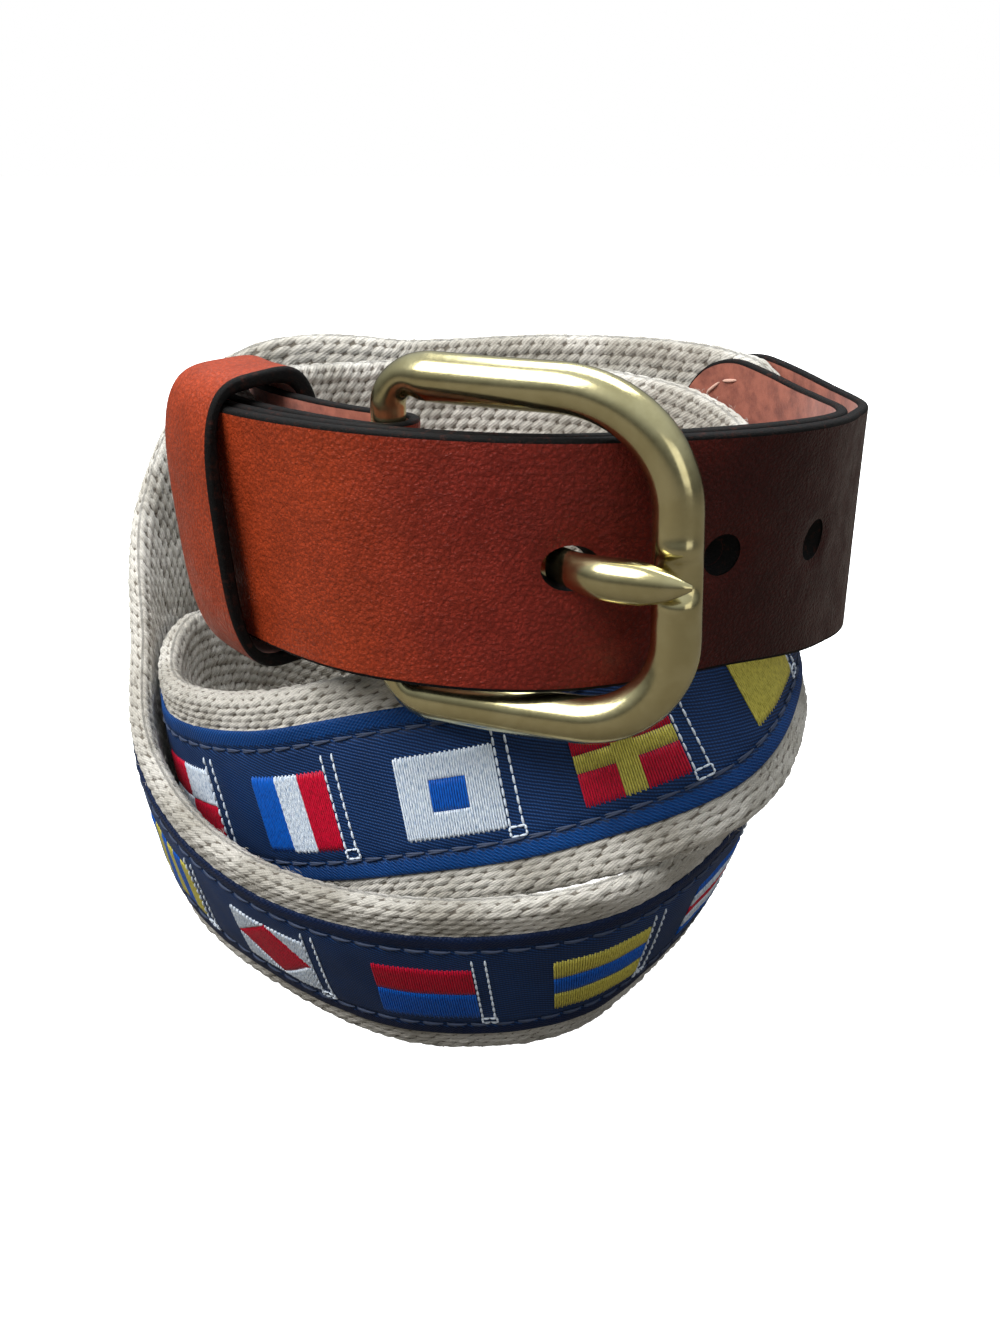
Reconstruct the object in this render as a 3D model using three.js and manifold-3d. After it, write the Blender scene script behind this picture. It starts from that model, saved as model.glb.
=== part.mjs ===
// Web belt, fastened and coiled into three turns that stand on their edges.
// Millimetres, Z up, the buckle faces -Y, the belt rests on Z = 0.
import * as THREE from 'three';
import { mergeVertices } from 'three/addons/utils/BufferGeometryUtils.js';
import Module from 'manifold-3d';

const wasm = await Module();
wasm.setup();

// Named sizes of the belt.
const size = {
  halfWidth: 16,
  webThickness: 3.2,
  ribbonHalfWidth: 11.1,
  ribbonThickness: 0.6,
  ribbonLift: 0.3,
  plyThickness: 1.4,
  plyLift: 0.3,
  billetThickness: 3.2,
  heelBarRadius: 2.2,
  frameBarRadius: 3.1,
  frameHalfHeight: 20.6,
  frameMiddleHeight: 74.5,
  frameReach: 34.5,
  frameBow: 14.6,
  holeDiameter: 5.6,
  keeperThickness: 2,
  stationsPerTurn: 12,
};

// The strap's middle line, one row for each twelfth of a turn.
// Columns: x, y, z of the middle line, lean of the strap's face in degrees
// (a positive lean brings the bottom edge outward).
const topTurn = [
  [8, -42, 73.5, -2],
  [-13.5, -37.3, 73.5, -2],
  [-29.2, -22.4, 73.8, -7],
  [-36.1, -0.8, 72.3, -4],
  [-31.5, 19.5, 70, 0],
  [-13, 31, 69, 0],
  [9, 30.5, 68.5, 0],
  [28, 20.5, 66.5, 1],
  [37.6, 2.5, 62.5, 8],
  [36, -17.5, 57, 18],
  [25.6, -34.4, 50.4, 23.5],
  [5.8, -37, 43.6, 17],
];
const middleTurn = [
  [-13.6, -34.4, 39.1, 6.5],
  [-30.8, -24.2, 33.5, -8],
  [-44.1, -7.8, 30.7, -11],
  [-47, 13, 32.5, -4],
  [-40, 34, 26.5, 0],
  [-24.5, 47, 16.5, 1],
  [-3, 48, 14.6, 0],
  [17, 39.5, 15, -3],
  [30, 21.5, 19.5, -7],
  [34, 0, 23.4, -14],
  [28, -20.8, 21.2, -25],
  [11.5, -37.7, 16.3, -28.5],
];
const lowTurn = [
  [-12.2, -37.7, 14.1, -28.5],
  [-32.8, -26.2, 16.3, -28.5],
  [-48, -7.5, 22.5, -17],
  [-52.6, 13, 36, -4],
  [-49, 30, 53, -4],
  [-36.5, 41, 70, 0],
  [-12.5, 42, 70.5, 2],
  [12.5, 38, 72, 3],
  [33.5, 26.5, 72, 3],
  [45.5, 6.2, 69.3, -1],
  [44.7, -17.2, 70.6, -5.5],
  [31.2, -37.8, 73.2, -11],
];
const billetTurn = [
  [6.3, -48, 73.5, -3.6],
  [-16.8, -43.8, 74, -4.6],
  [-33.8, -26, 73.5, -8],
  [-42, -4.7, 72.6, -5],
];
const rows = [...topTurn, ...middleTurn, ...lowTurn, ...billetTurn];

// Places along the strap, counted in stations.
const place = {
  heelBar: 1,
  webStart: 1.4,
  chapeEnd: 3.3,
  ribbonStart: 3.6,
  ribbonEnd: 31.6,
  tabStart: 31.75,
  webEnd: 33.6,
  billetRoot: 33.65,
  billetTip: 39.25,
  keeperStart: 1.84,
  keeperEnd: 2.42,
  prongHole: 35.92,
};

const radians = (degrees) => (degrees * Math.PI) / 180;

// A smooth curve through a table's rows; spot counts rows from 0.
function smoothAt(list, spot) {
  const last = list.length - 1;
  const x = Math.min(Math.max(spot, 0), last - 1e-6);
  const i = Math.floor(x);
  const f = x - i;
  const pick = (k) => {
    if (k < 0) return list[0].map((v, c) => 2 * v - list[1][c]);
    if (k > last) return list[last].map((v, c) => 2 * v - list[last - 1][c]);
    return list[k];
  };
  const [a, b, c, d] = [pick(i - 1), pick(i), pick(i + 1), pick(i + 2)];
  const value = [];
  const slope = [];
  for (let k = 0; k < b.length; k += 1) {
    const m1 = (c[k] - a[k]) / 2;
    const m2 = (d[k] - b[k]) / 2;
    const g = b[k] - c[k];
    value.push((2 * g + m1 + m2) * f ** 3 + (-3 * g - 2 * m1 - m2) * f ** 2 + m1 * f + b[k]);
    slope.push(3 * (2 * g + m1 + m2) * f ** 2 + 2 * (-3 * g - 2 * m1 - m2) * f + m1);
  }
  return { value, slope };
}

// The strap's own directions at a station: along, across (bottom to top) and outward.
function strapAt(station) {
  const { value, slope } = smoothAt(rows, station);
  const centre = new THREE.Vector3(value[0], value[1], value[2]);
  const along = new THREE.Vector3(slope[0], slope[1], slope[2]).normalize();
  const level = new THREE.Vector3(0, 0, 1).cross(along).normalize();
  const upright = along.clone().cross(level);
  const lean = radians(value[3]);
  const across = upright.clone().multiplyScalar(Math.cos(lean)).addScaledVector(level, -Math.sin(lean));
  const outward = level.clone().multiplyScalar(Math.cos(lean)).addScaledVector(upright, Math.sin(lean));
  return { centre, along, across, outward };
}

function strapPoint(station, w, n) {
  const f = strapAt(station);
  return f.centre.addScaledVector(f.across, w).addScaledVector(f.outward, n);
}

// A closed solid from rings of points that run one after another.
function loft(rings, closed = false) {
  const m = rings[0].length;
  const position = [];
  rings.forEach((ring) => ring.forEach((p) => position.push(p.x, p.y, p.z)));
  const index = [];
  const spans = closed ? rings.length : rings.length - 1;
  for (let i = 0; i < spans; i += 1) {
    const a = i * m;
    const b = ((i + 1) % rings.length) * m;
    for (let j = 0; j < m; j += 1) {
      const k = (j + 1) % m;
      index.push(a + j, a + k, b + k, a + j, b + k, b + j);
    }
  }
  if (!closed) {
    const cap = (start, flip) => {
      for (let j = 1; j < m - 1; j += 1) {
        if (flip) index.push(start, start + j + 1, start + j);
        else index.push(start, start + j, start + j + 1);
      }
    };
    cap(0, true);
    cap((rings.length - 1) * m, false);
  }
  const geometry = new THREE.BufferGeometry();
  geometry.setAttribute('position', new THREE.Float32BufferAttribute(position, 3));
  geometry.setIndex(index);
  return outwardFacing(geometry);
}

function signedVolume(geometry) {
  const p = geometry.attributes.position;
  const a = new THREE.Vector3();
  const b = new THREE.Vector3();
  const c = new THREE.Vector3();
  let sum = 0;
  for (let i = 0; i < geometry.index.count; i += 3) {
    a.fromBufferAttribute(p, geometry.index.getX(i));
    b.fromBufferAttribute(p, geometry.index.getX(i + 1));
    c.fromBufferAttribute(p, geometry.index.getX(i + 2));
    sum += a.dot(b.cross(c)) / 6;
  }
  return sum;
}

function outwardFacing(geometry) {
  if (signedVolume(geometry) < 0) {
    const index = geometry.index.array;
    for (let i = 0; i < index.length; i += 3) {
      const keep = index[i + 1];
      index[i + 1] = index[i + 2];
      index[i + 2] = keep;
    }
  }
  return geometry;
}

function toManifold(geometry) {
  const whole = mergeVertices(geometry, 1e-4);
  return new wasm.Manifold(new wasm.Mesh({
    numProp: 3,
    vertProperties: new Float32Array(whole.attributes.position.array),
    triVerts: new Uint32Array(whole.index.array),
  }));
}

function fromManifold(body) {
  const mesh = body.getMesh();
  const geometry = new THREE.BufferGeometry();
  const position = [];
  for (let i = 0; i < mesh.vertProperties.length; i += mesh.numProp) {
    position.push(...mesh.vertProperties.slice(i, i + 3));
  }
  geometry.setAttribute('position', new THREE.Float32BufferAttribute(position, 3));
  geometry.setIndex(Array.from(mesh.triVerts));
  return geometry;
}

function stationsBetween(start, end, step) {
  const count = Math.max(1, Math.round((end - start) / step));
  return Array.from({ length: count + 1 }, (_, i) => start + ((end - start) * i) / count);
}

// A strap of one thickness with bevelled edges; halfAt narrows it toward an end.
function strap(start, end, low, high, half, step, halfAt = () => 1) {
  const bevel = Math.min(0.7, (high - low) * 0.35);
  const rings = stationsBetween(start, end, step).map((s) => {
    const h = half * halfAt(s);
    return [
      [-h + bevel, low], [h - bevel, low], [h, low + bevel], [h, high - bevel],
      [h - bevel, high], [-h + bevel, high], [-h, high - bevel], [-h, low + bevel],
    ].map(([w, n]) => strapPoint(s, w, n));
  });
  return loft(rings);
}

// A strap whose section is given as a list of [w, n] corners, the same all along.
function plainStrap(start, end, section, step) {
  return loft(stationsBetween(start, end, step).map((s) => section.map(([w, n]) => strapPoint(s, w, n))));
}

// A rounded tongue end: full width but for the last stretch, given in stations.
function tongue(end, reach) {
  return (s) => {
    const t = Math.min(1, Math.abs(s - end) / reach);
    return 0.3 + 0.7 * Math.sqrt(1 - (1 - t) ** 2);
  };
}

function webbing() {
  const n = size.webThickness / 2;
  const h = size.halfWidth;
  const r = size.ribbonHalfWidth;
  const section = [
    [-h + 0.8, n], [-r, n], [0, n], [r, n], [h - 0.8, n], [h, n - 0.9],
    [h, -n + 0.9], [h - 0.8, -n], [0, -n], [-h + 0.8, -n], [-h, -n + 0.9], [-h, n - 0.9],
  ];
  return plainStrap(place.webStart, place.webEnd, section, 0.2);
}

function flagRibbon() {
  const low = size.webThickness / 2 + size.ribbonLift;
  const high = low + size.ribbonThickness;
  const r = size.ribbonHalfWidth;
  const section = [[-r, low], [0, low], [r, low], [r, high], [0, high], [-r, high]];
  return plainStrap(place.ribbonStart, place.ribbonEnd, section, 0.2);
}

// The billet: one thick strap with two thin plies that lap the webbing's end.
function billet() {
  const half = size.billetThickness / 2;
  const ribbonFace = size.webThickness / 2 + size.plyLift;
  const solidPart = strap(place.billetRoot, place.billetTip, -half, half, size.halfWidth, 0.2,
    tongue(place.billetTip, 0.6));
  const root = place.billetRoot + 0.25;
  const mouth = tongue(place.tabStart, 0.55);
  const outerPly = strap(place.tabStart, root, ribbonFace, ribbonFace + size.plyThickness,
    size.halfWidth, 0.18, mouth);
  const innerPly = strap(place.tabStart, root, -ribbonFace - size.plyThickness, -ribbonFace,
    size.halfWidth, 0.18, mouth);
  const joint = strap(place.billetRoot, root, -ribbonFace - 0.4, ribbonFace + 0.4, size.halfWidth, 0.13);
  let body = toManifold(solidPart).add(toManifold(joint));
  body = body.add(toManifold(outerPly)).add(toManifold(innerPly));
  body = body.subtract(toManifold(oval(place.prongHole, 3.7, 2.9)));
  [place.prongHole - 0.71, place.prongHole - 1.42].forEach((s) => {
    body = body.subtract(toManifold(oval(s, size.holeDiameter / 2, size.holeDiameter / 2)));
  });
  return fromManifold(body);
}

// A peg with an oval outline that goes right through the strap.
function oval(station, halfLong, halfTall) {
  const f = strapAt(station);
  const ring = (n) => Array.from({ length: 20 }, (_, i) => {
    const turn = (i / 20) * 2 * Math.PI;
    return f.centre.clone()
      .addScaledVector(f.along, Math.cos(turn) * halfLong)
      .addScaledVector(f.across, Math.sin(turn) * halfTall)
      .addScaledVector(f.outward, n);
  });
  return loft([ring(-5), ring(5)]);
}

// The chape: a thin leather ply folded round the heel bar, with a slot for the prong.
function chape() {
  const inner = size.heelBarRadius + 0.3;
  const fold = inner + size.plyThickness / 2;
  const ply = size.webThickness / 2 + size.plyLift + size.plyThickness / 2;
  const bar = strapAt(place.heelBar);
  const line = [];
  const side = (sign) => stationsBetween(place.heelBar, place.chapeEnd, 0.16).map((s) => {
    const t = Math.min(1, (s - place.heelBar) / 0.5);
    return { s, n: sign * (fold + (ply - fold) * t) };
  });
  side(-1).reverse().forEach((p) => line.push(p));
  stationsBetween(0, 1, 1 / 10).slice(1, -1).forEach((t) => line.push({ turn: -90 - 180 * t }));
  side(1).forEach((p) => line.push(p));
  const at = (p, w, out) => {
    if (p.turn === undefined) return strapPoint(p.s, w, p.n + Math.sign(p.n) * out);
    const a = radians(p.turn);
    return bar.centre.clone()
      .addScaledVector(bar.along, Math.cos(a) * (fold + out))
      .addScaledVector(bar.outward, Math.sin(a) * (fold + out))
      .addScaledVector(bar.across, w);
  };
  const half = size.plyThickness / 2;
  const h = size.halfWidth;
  const rings = line.map((p) => [
    at(p, -h, -half), at(p, -h + 0.5, -half), at(p, h - 0.5, -half), at(p, h, -half),
    at(p, h, half), at(p, h - 0.5, half), at(p, -h + 0.5, half), at(p, -h, half),
  ]);
  const body = toManifold(loft(rings));
  const slot = new THREE.BoxGeometry(12, 16, 6.4).toNonIndexed();
  slot.deleteAttribute('normal');
  slot.deleteAttribute('uv');
  const cut = mergeVertices(slot, 1e-4);
  const basis = new THREE.Matrix4().makeBasis(bar.along, bar.outward, bar.across).setPosition(bar.centre);
  cut.translate(-1.5, 0, 0);
  cut.applyMatrix4(basis);
  return fromManifold(body.subtract(toManifold(outwardFacing(cut))));
}

// The keeper: a leather loop round the chape and the billet, fuller at mid height.
function keeper() {
  const around = 40;
  const power = 0.45;
  const shape = { inside: -4.8, outside: 9.2, halfTall: 17.8 };
  const middle = (shape.inside + shape.outside) / 2;
  const reach = (shape.outside - shape.inside) / 2;
  const sides = stationsBetween(place.keeperStart, place.keeperEnd, 0.16);
  const rings = Array.from({ length: around }, (_, i) => {
    const turn = (i / around) * 2 * Math.PI;
    const c = Math.cos(turn);
    const d = Math.sin(turn);
    const u = Math.sign(c) * Math.abs(c) ** power;
    const v = Math.sign(d) * Math.abs(d) ** power;
    const point = (s, out) => strapPoint(s, v * (shape.halfTall + out), middle + u * (reach + out));
    const innerRow = sides.map((s) => point(s, 0));
    const outerRow = sides.map((s) => point(s, size.keeperThickness)).reverse();
    return [...innerRow, ...outerRow];
  });
  return loft(rings, true);
}

// Centre line of the buckle's frame: a D with small corners at the heel bar.
function frameLine() {
  const { centre: bar, across: up } = strapAt(place.heelBar);
  const half = size.frameHalfHeight;
  const corners = [
    { x: 0, z: half, r: 4, from: 180 },
    { x: size.frameReach, z: half, r: 14, from: 90 },
    { x: size.frameReach, z: -half, r: 11.5, from: 0 },
    { x: 0, z: -half, r: 4, from: -90 },
  ];
  const points = [];
  corners.forEach((c) => {
    const cx = c.x === 0 ? c.r : c.x - c.r;
    const cz = c.z > 0 ? c.z - c.r : c.z + c.r;
    const steps = 7;
    for (let i = 0; i <= steps; i += 1) {
      const a = radians(c.from - (90 * i) / steps);
      points.push([cx + Math.cos(a) * c.r, cz + Math.sin(a) * c.r]);
    }
  });
  return points.flatMap(([x, z], i) => {
    const [nx, nz] = points[(i + 1) % points.length];
    const gap = Math.hypot(nx - x, nz - z);
    const extra = gap > 7 ? Math.round(gap / 4) : 1;
    return Array.from({ length: extra }, (_, k) => [x + ((nx - x) * k) / extra, z + ((nz - z) * k) / extra]);
  }).map(([x, z]) => {
    const t = Math.min(1, Math.max(0, x / size.frameReach));
    const height = size.frameMiddleHeight + z;
    const lift = (height - bar.z) / up.z;
    const bow = size.frameBow * (0.5 * t + 0.5 * Math.sin((t * Math.PI) / 2));
    return new THREE.Vector3(bar.x + x + up.x * lift, bar.y - bow + up.y * lift, height);
  });
}

function buckleFrame() {
  const line = frameLine();
  const heel = strapAt(place.heelBar).centre;
  const n = line.length;
  const rings = line.map((p, i) => {
    const along = line[(i + 1) % n].clone().sub(line[(i + n - 1) % n]).normalize();
    const front = new THREE.Vector3(0, -1, 0).addScaledVector(along, along.y).normalize();
    const side = along.clone().cross(front);
    const t = Math.min(1, Math.max(0, (p.x - heel.x - 0.4) / 5));
    const ease = t * t * (3 - 2 * t);
    const radius = size.heelBarRadius + (size.frameBarRadius - size.heelBarRadius) * ease;
    return Array.from({ length: 12 }, (_, k) => {
      const a = (k / 12) * 2 * Math.PI;
      return p.clone()
        .addScaledVector(front, Math.cos(a) * radius)
        .addScaledVector(side, Math.sin(a) * radius);
    });
  });
  return loft(rings, true);
}

// Rows of the prong's shank: x, y of its middle, half its thickness, half its height.
const shankRows = [
  [-12.2, -40.9, 0.8, 2.2],
  [-8, -42, 1.1, 2.1],
  [-1.5, -43, 1.2, 2.0],
  [3.9, -43.9, 1.1, 2.1],
  [7, -47.3, 1.3, 2.3],
  [9.3, -51, 1.7, 2.4],
  [12.2, -54, 2.2, 2.7],
  [16, -55.9, 2.2, 2.7],
  [18.6, -57.1, 1.7, 2.1],
  [20.8, -57.8, 0.9, 1.1],
  [22.2, -58, 0.3, 0.35],
];

function prong() {
  const z = 73.5;
  const count = 30;
  const rings = stationsBetween(0, 1, 1 / count).map((t) => {
    const { value, slope } = smoothAt(shankRows, t * (shankRows.length - 1));
    const along = new THREE.Vector3(slope[0], slope[1], 0).normalize();
    const side = new THREE.Vector3(along.y, -along.x, 0);
    return Array.from({ length: 12 }, (_, k) => {
      const a = (k / 12) * 2 * Math.PI;
      return new THREE.Vector3(value[0], value[1], z)
        .addScaledVector(side, Math.cos(a) * value[2])
        .add(new THREE.Vector3(0, 0, Math.sin(a) * value[3]));
    });
  });
  const bar = strapAt(place.heelBar).centre;
  const eyeHalf = 2.2;
  const eye = Array.from({ length: 20 }, (_, i) => {
    const a = (i / 20) * 2 * Math.PI;
    const inner = size.heelBarRadius + 0.3;
    const outer = inner + 1.6;
    const at = (r, h) => new THREE.Vector3(bar.x + Math.cos(a) * r, bar.y + Math.sin(a) * r, z + h);
    return [at(inner, -eyeHalf), at(inner, eyeHalf), at(outer, eyeHalf), at(outer, -eyeHalf)];
  });
  return fromManifold(toManifold(loft(rings)).add(toManifold(loft(eye, true))));
}

const finish = {
  web: { color: 0xbdb8ac, roughness: 0.95, metalness: 0 },
  ribbon: { color: 0x1d2f57, roughness: 0.8, metalness: 0 },
  leather: { color: 0x8a3318, roughness: 0.5, metalness: 0 },
  brass: { color: 0xb3a273, roughness: 0.35, metalness: 1 },
};

function named(name, geometry, look) {
  const clean = mergeVertices(geometry, 1e-3);
  clean.computeVertexNormals();
  const mesh = new THREE.Mesh(clean, new THREE.MeshStandardMaterial(look));
  mesh.name = name;
  return mesh;
}

const belt = new THREE.Group();
belt.name = 'web_belt';
belt.add(named('webbing', webbing(), finish.web));
belt.add(named('flag_ribbon', flagRibbon(), finish.ribbon));
belt.add(named('billet', billet(), finish.leather));
belt.add(named('chape', chape(), finish.leather));
belt.add(named('keeper', keeper(), finish.leather));
belt.add(named('buckle_frame', buckleFrame(), finish.brass));
belt.add(named('prong', prong(), finish.brass));

// Set the lowest edge on Z = 0 and the outline's middle on the Z axis.
const box = new THREE.Box3().setFromObject(belt);
const middle = box.getCenter(new THREE.Vector3());
belt.children.forEach((mesh) => mesh.geometry.translate(-middle.x, -middle.y, -box.min.z));

export default belt;
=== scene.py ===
import logging
import math
from dataclasses import dataclass, field
from enum import Enum
from typing import Callable

import bpy
import numpy as np
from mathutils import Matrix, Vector


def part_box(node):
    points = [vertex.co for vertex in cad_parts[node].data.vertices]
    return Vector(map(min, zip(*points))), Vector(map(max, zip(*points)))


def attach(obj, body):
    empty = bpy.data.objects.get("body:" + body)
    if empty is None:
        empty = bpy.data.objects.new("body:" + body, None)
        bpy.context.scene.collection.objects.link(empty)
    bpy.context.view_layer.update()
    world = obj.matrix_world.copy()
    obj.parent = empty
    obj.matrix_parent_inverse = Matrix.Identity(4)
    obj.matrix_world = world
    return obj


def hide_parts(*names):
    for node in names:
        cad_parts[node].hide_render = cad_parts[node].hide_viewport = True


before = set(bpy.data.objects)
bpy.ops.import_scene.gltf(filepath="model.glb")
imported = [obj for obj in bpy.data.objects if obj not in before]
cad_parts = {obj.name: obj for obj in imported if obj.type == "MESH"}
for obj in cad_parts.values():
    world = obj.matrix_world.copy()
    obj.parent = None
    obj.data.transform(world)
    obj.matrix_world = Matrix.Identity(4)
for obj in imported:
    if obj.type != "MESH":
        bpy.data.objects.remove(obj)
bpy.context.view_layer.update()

log = logging.getLogger("web_belt")
MM = 0.001
SEED = 11
# Edges of a leather piece that turn by more than this stay sharp.
LEATHER_SHARP_DEGREES = 38
# How far the yarns' middles stray from their lattice, and a yarn's radius, as shares of its pitch.
YARN_RANDOMNESS = 0.24
YARN_SPREAD = 0.6

# The strap's middle line, as in the part's source: one row for each twelfth of a turn.
# Columns: x, y, z in millimetres, lean of the strap's face in degrees.
TOP_TURN = (
    (8, -42, 73.5, -2), (-13.5, -37.3, 73.5, -2), (-29.2, -22.4, 73.8, -7), (-36.1, -0.8, 72.3, -4),
    (-31.5, 19.5, 70, 0), (-13, 31, 69, 0), (9, 30.5, 68.5, 0), (28, 20.5, 66.5, 1),
    (37.6, 2.5, 62.5, 8), (36, -17.5, 57, 18), (25.6, -34.4, 50.4, 23.5), (5.8, -37, 43.6, 17),
)
MIDDLE_TURN = (
    (-13.6, -34.4, 39.1, 6.5), (-30.8, -24.2, 33.5, -8), (-44.1, -7.8, 30.7, -11), (-47, 13, 32.5, -4),
    (-40, 34, 26.5, 0), (-24.5, 47, 16.5, 1), (-3, 48, 14.6, 0), (17, 39.5, 15, -3),
    (30, 21.5, 19.5, -7), (34, 0, 23.4, -14), (28, -20.8, 21.2, -25), (11.5, -37.7, 16.3, -28.5),
)
LOW_TURN = (
    (-12.2, -37.7, 14.1, -28.5), (-32.8, -26.2, 16.3, -28.5), (-48, -7.5, 22.5, -17), (-52.6, 13, 36, -4),
    (-49, 30, 53, -4), (-36.5, 41, 70, 0), (-12.5, 42, 70.5, 2), (12.5, 38, 72, 3),
    (33.5, 26.5, 72, 3), (45.5, 6.2, 69.3, -1), (44.7, -17.2, 70.6, -5.5), (31.2, -37.8, 73.2, -11),
)
BILLET_TURN = (
    (6.3, -48, 73.5, -3.6), (-16.8, -43.8, 74, -4.6), (-33.8, -26, 73.5, -8), (-42, -4.7, 72.6, -5),
)


@dataclass(frozen=True)
class Places:
    """Stations along the strap, twelve to a turn, where its pieces begin and end."""

    heel_bar: float = 1.0
    web_start: float = 1.4
    chape_end: float = 3.3
    ribbon_start: float = 3.6
    ribbon_end: float = 31.6
    tab_start: float = 31.75
    web_end: float = 33.6
    billet_root: float = 33.65
    billet_tip: float = 39.25
    keeper_start: float = 1.84
    keeper_end: float = 2.42
    prong_hole: float = 35.92
    hole_pitch: float = 0.71


@dataclass(frozen=True)
class StrapSizes:
    """Widths and thicknesses that several pieces share, in millimetres."""

    half_width: float = 16.0
    web_half: float = 1.6
    ribbon_half_width: float = 11.1
    ribbon_low: float = 1.72
    ribbon_high: float = 2.22
    ply: float = 1.4
    ply_low: float = 1.9
    heel_radius: float = 2.2
    bar_radius: float = 3.1


PLACE = Places()
SIZE = StrapSizes()


@dataclass
class CoiledPath:
    """The middle line of the coiled strap and its own directions, in metres."""

    rows: np.ndarray
    shift: np.ndarray = field(default_factory=lambda: np.zeros(3))
    steps_per_station: int = 60

    def __post_init__(self) -> None:
        """Adds a row before the first and after the last, and measures the length."""
        first = 2 * self.rows[0] - self.rows[1]
        last = 2 * self.rows[-1] - self.rows[-2]
        self.padded = np.vstack([first, self.rows, last])
        count = (len(self.rows) - 1) * self.steps_per_station
        self.ruler_stations = np.linspace(0, len(self.rows) - 1, count + 1)
        centre = self.frames(self.ruler_stations)[0]
        steps = np.linalg.norm(np.diff(centre, axis=0), axis=1)
        self.ruler = np.concatenate([[0.0], np.cumsum(steps)]) / MM

    def frames(self, stations: np.ndarray) -> tuple[np.ndarray, ...]:
        """Gives the strap's place and directions.

        Args:
            stations: Places along the strap, any array shape.
        Returns:
            Centre, along, across (bottom to top) and outward, each with a last axis of 3.
        """
        spot = np.clip(np.asarray(stations, float), 0, len(self.rows) - 1 - 1e-6)
        i = np.floor(spot).astype(int)
        f = (spot - i)[..., None]
        value, slope = smooth_through(self.padded, i, f)
        along = unit(slope[..., :3])
        level = unit(np.cross(np.array([0.0, 0.0, 1.0]), along))
        upright = np.cross(along, level)
        lean = value[..., 3:4]
        across = np.cos(lean) * upright - np.sin(lean) * level
        outward = np.cos(lean) * level + np.sin(lean) * upright
        return value[..., :3] + self.shift, along, across, outward

    def points(self, stations: np.ndarray, w: np.ndarray, n: np.ndarray) -> np.ndarray:
        """Gives points beside the middle line.

        Args:
            stations: Places along the strap.
            w: Millimetres across, from the middle toward the top edge.
            n: Millimetres outward from the middle.
        Returns:
            The points in metres.
        """
        centre, _, across, outward = self.frames(stations)
        w = np.asarray(w, float)[..., None] * MM
        n = np.asarray(n, float)[..., None] * MM
        return centre + across * w + outward * n

    def length_at(self, stations: np.ndarray) -> np.ndarray:
        """Gives the millimetres of strap before each station."""
        return np.interp(stations, self.ruler_stations, self.ruler)

    def station_at(self, lengths: np.ndarray) -> np.ndarray:
        """Gives the station at each length in millimetres."""
        return np.interp(lengths, self.ruler, self.ruler_stations)

    def every(self, start: float, end: float, step: float) -> np.ndarray:
        """Gives stations from start to end, an even number of millimetres apart."""
        low, high = self.length_at(start), self.length_at(end)
        count = max(1, round(float(high - low) / step))
        return self.station_at(np.linspace(low, high, count + 1))

    def settle(self, node: str) -> None:
        """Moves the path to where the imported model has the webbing's lowest corner.

        Args:
            node: The name of the webbing's node.
        """
        half, edge = SIZE.half_width, 0.8
        face, step = SIZE.web_half, 0.2
        corners = np.array([
            (-half + edge, face), (half - edge, face), (half, face - 0.9), (half, 0.9 - face),
            (half - edge, -face), (-half + edge, -face), (-half, 0.9 - face), (-half, face - 0.9),
        ])
        count = round((PLACE.web_end - PLACE.web_start) / step)
        stations = np.linspace(PLACE.web_start, PLACE.web_end, count + 1)
        own = self.points(stations[:, None], corners[None, :, 0], corners[None, :, 1])
        self.shift = np.array(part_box(node)[0]) - own.reshape(-1, 3).min(axis=0)


def smooth_through(padded: np.ndarray, i: np.ndarray, f: np.ndarray) -> tuple[np.ndarray, np.ndarray]:
    """Gives the value and slope of a smooth curve through the rows of a table.

    Args:
        padded: The rows, with one more before the first and after the last.
        i: The number of the row before each place.
        f: How far each place lies toward the next row, 0 to 1.
    Returns:
        Values and slopes, one row for each place.
    """
    a, b, c, d = (padded[i + k] for k in range(4))
    enter = (c - a) / 2
    leave = (d - b) / 2
    gap = b - c
    cubic = 2 * gap + enter + leave
    square = -3 * gap - 2 * enter - leave
    value = cubic * f**3 + square * f**2 + enter * f + b
    slope = 3 * cubic * f**2 + 2 * square * f + enter
    return value, slope


def unit(vectors: np.ndarray) -> np.ndarray:
    """Gives the vectors at length one."""
    return vectors / np.linalg.norm(vectors, axis=-1, keepdims=True)


def coiled_path() -> CoiledPath:
    """Makes the path from the table's rows, in metres and radians, in its place."""
    rows = np.array(TOP_TURN + MIDDLE_TURN + LOW_TURN + BILLET_TURN, float)
    rows[:, :3] *= MM
    rows[:, 3] = np.radians(rows[:, 3])
    path = CoiledPath(rows)
    path.settle("webbing")
    return path


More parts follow.
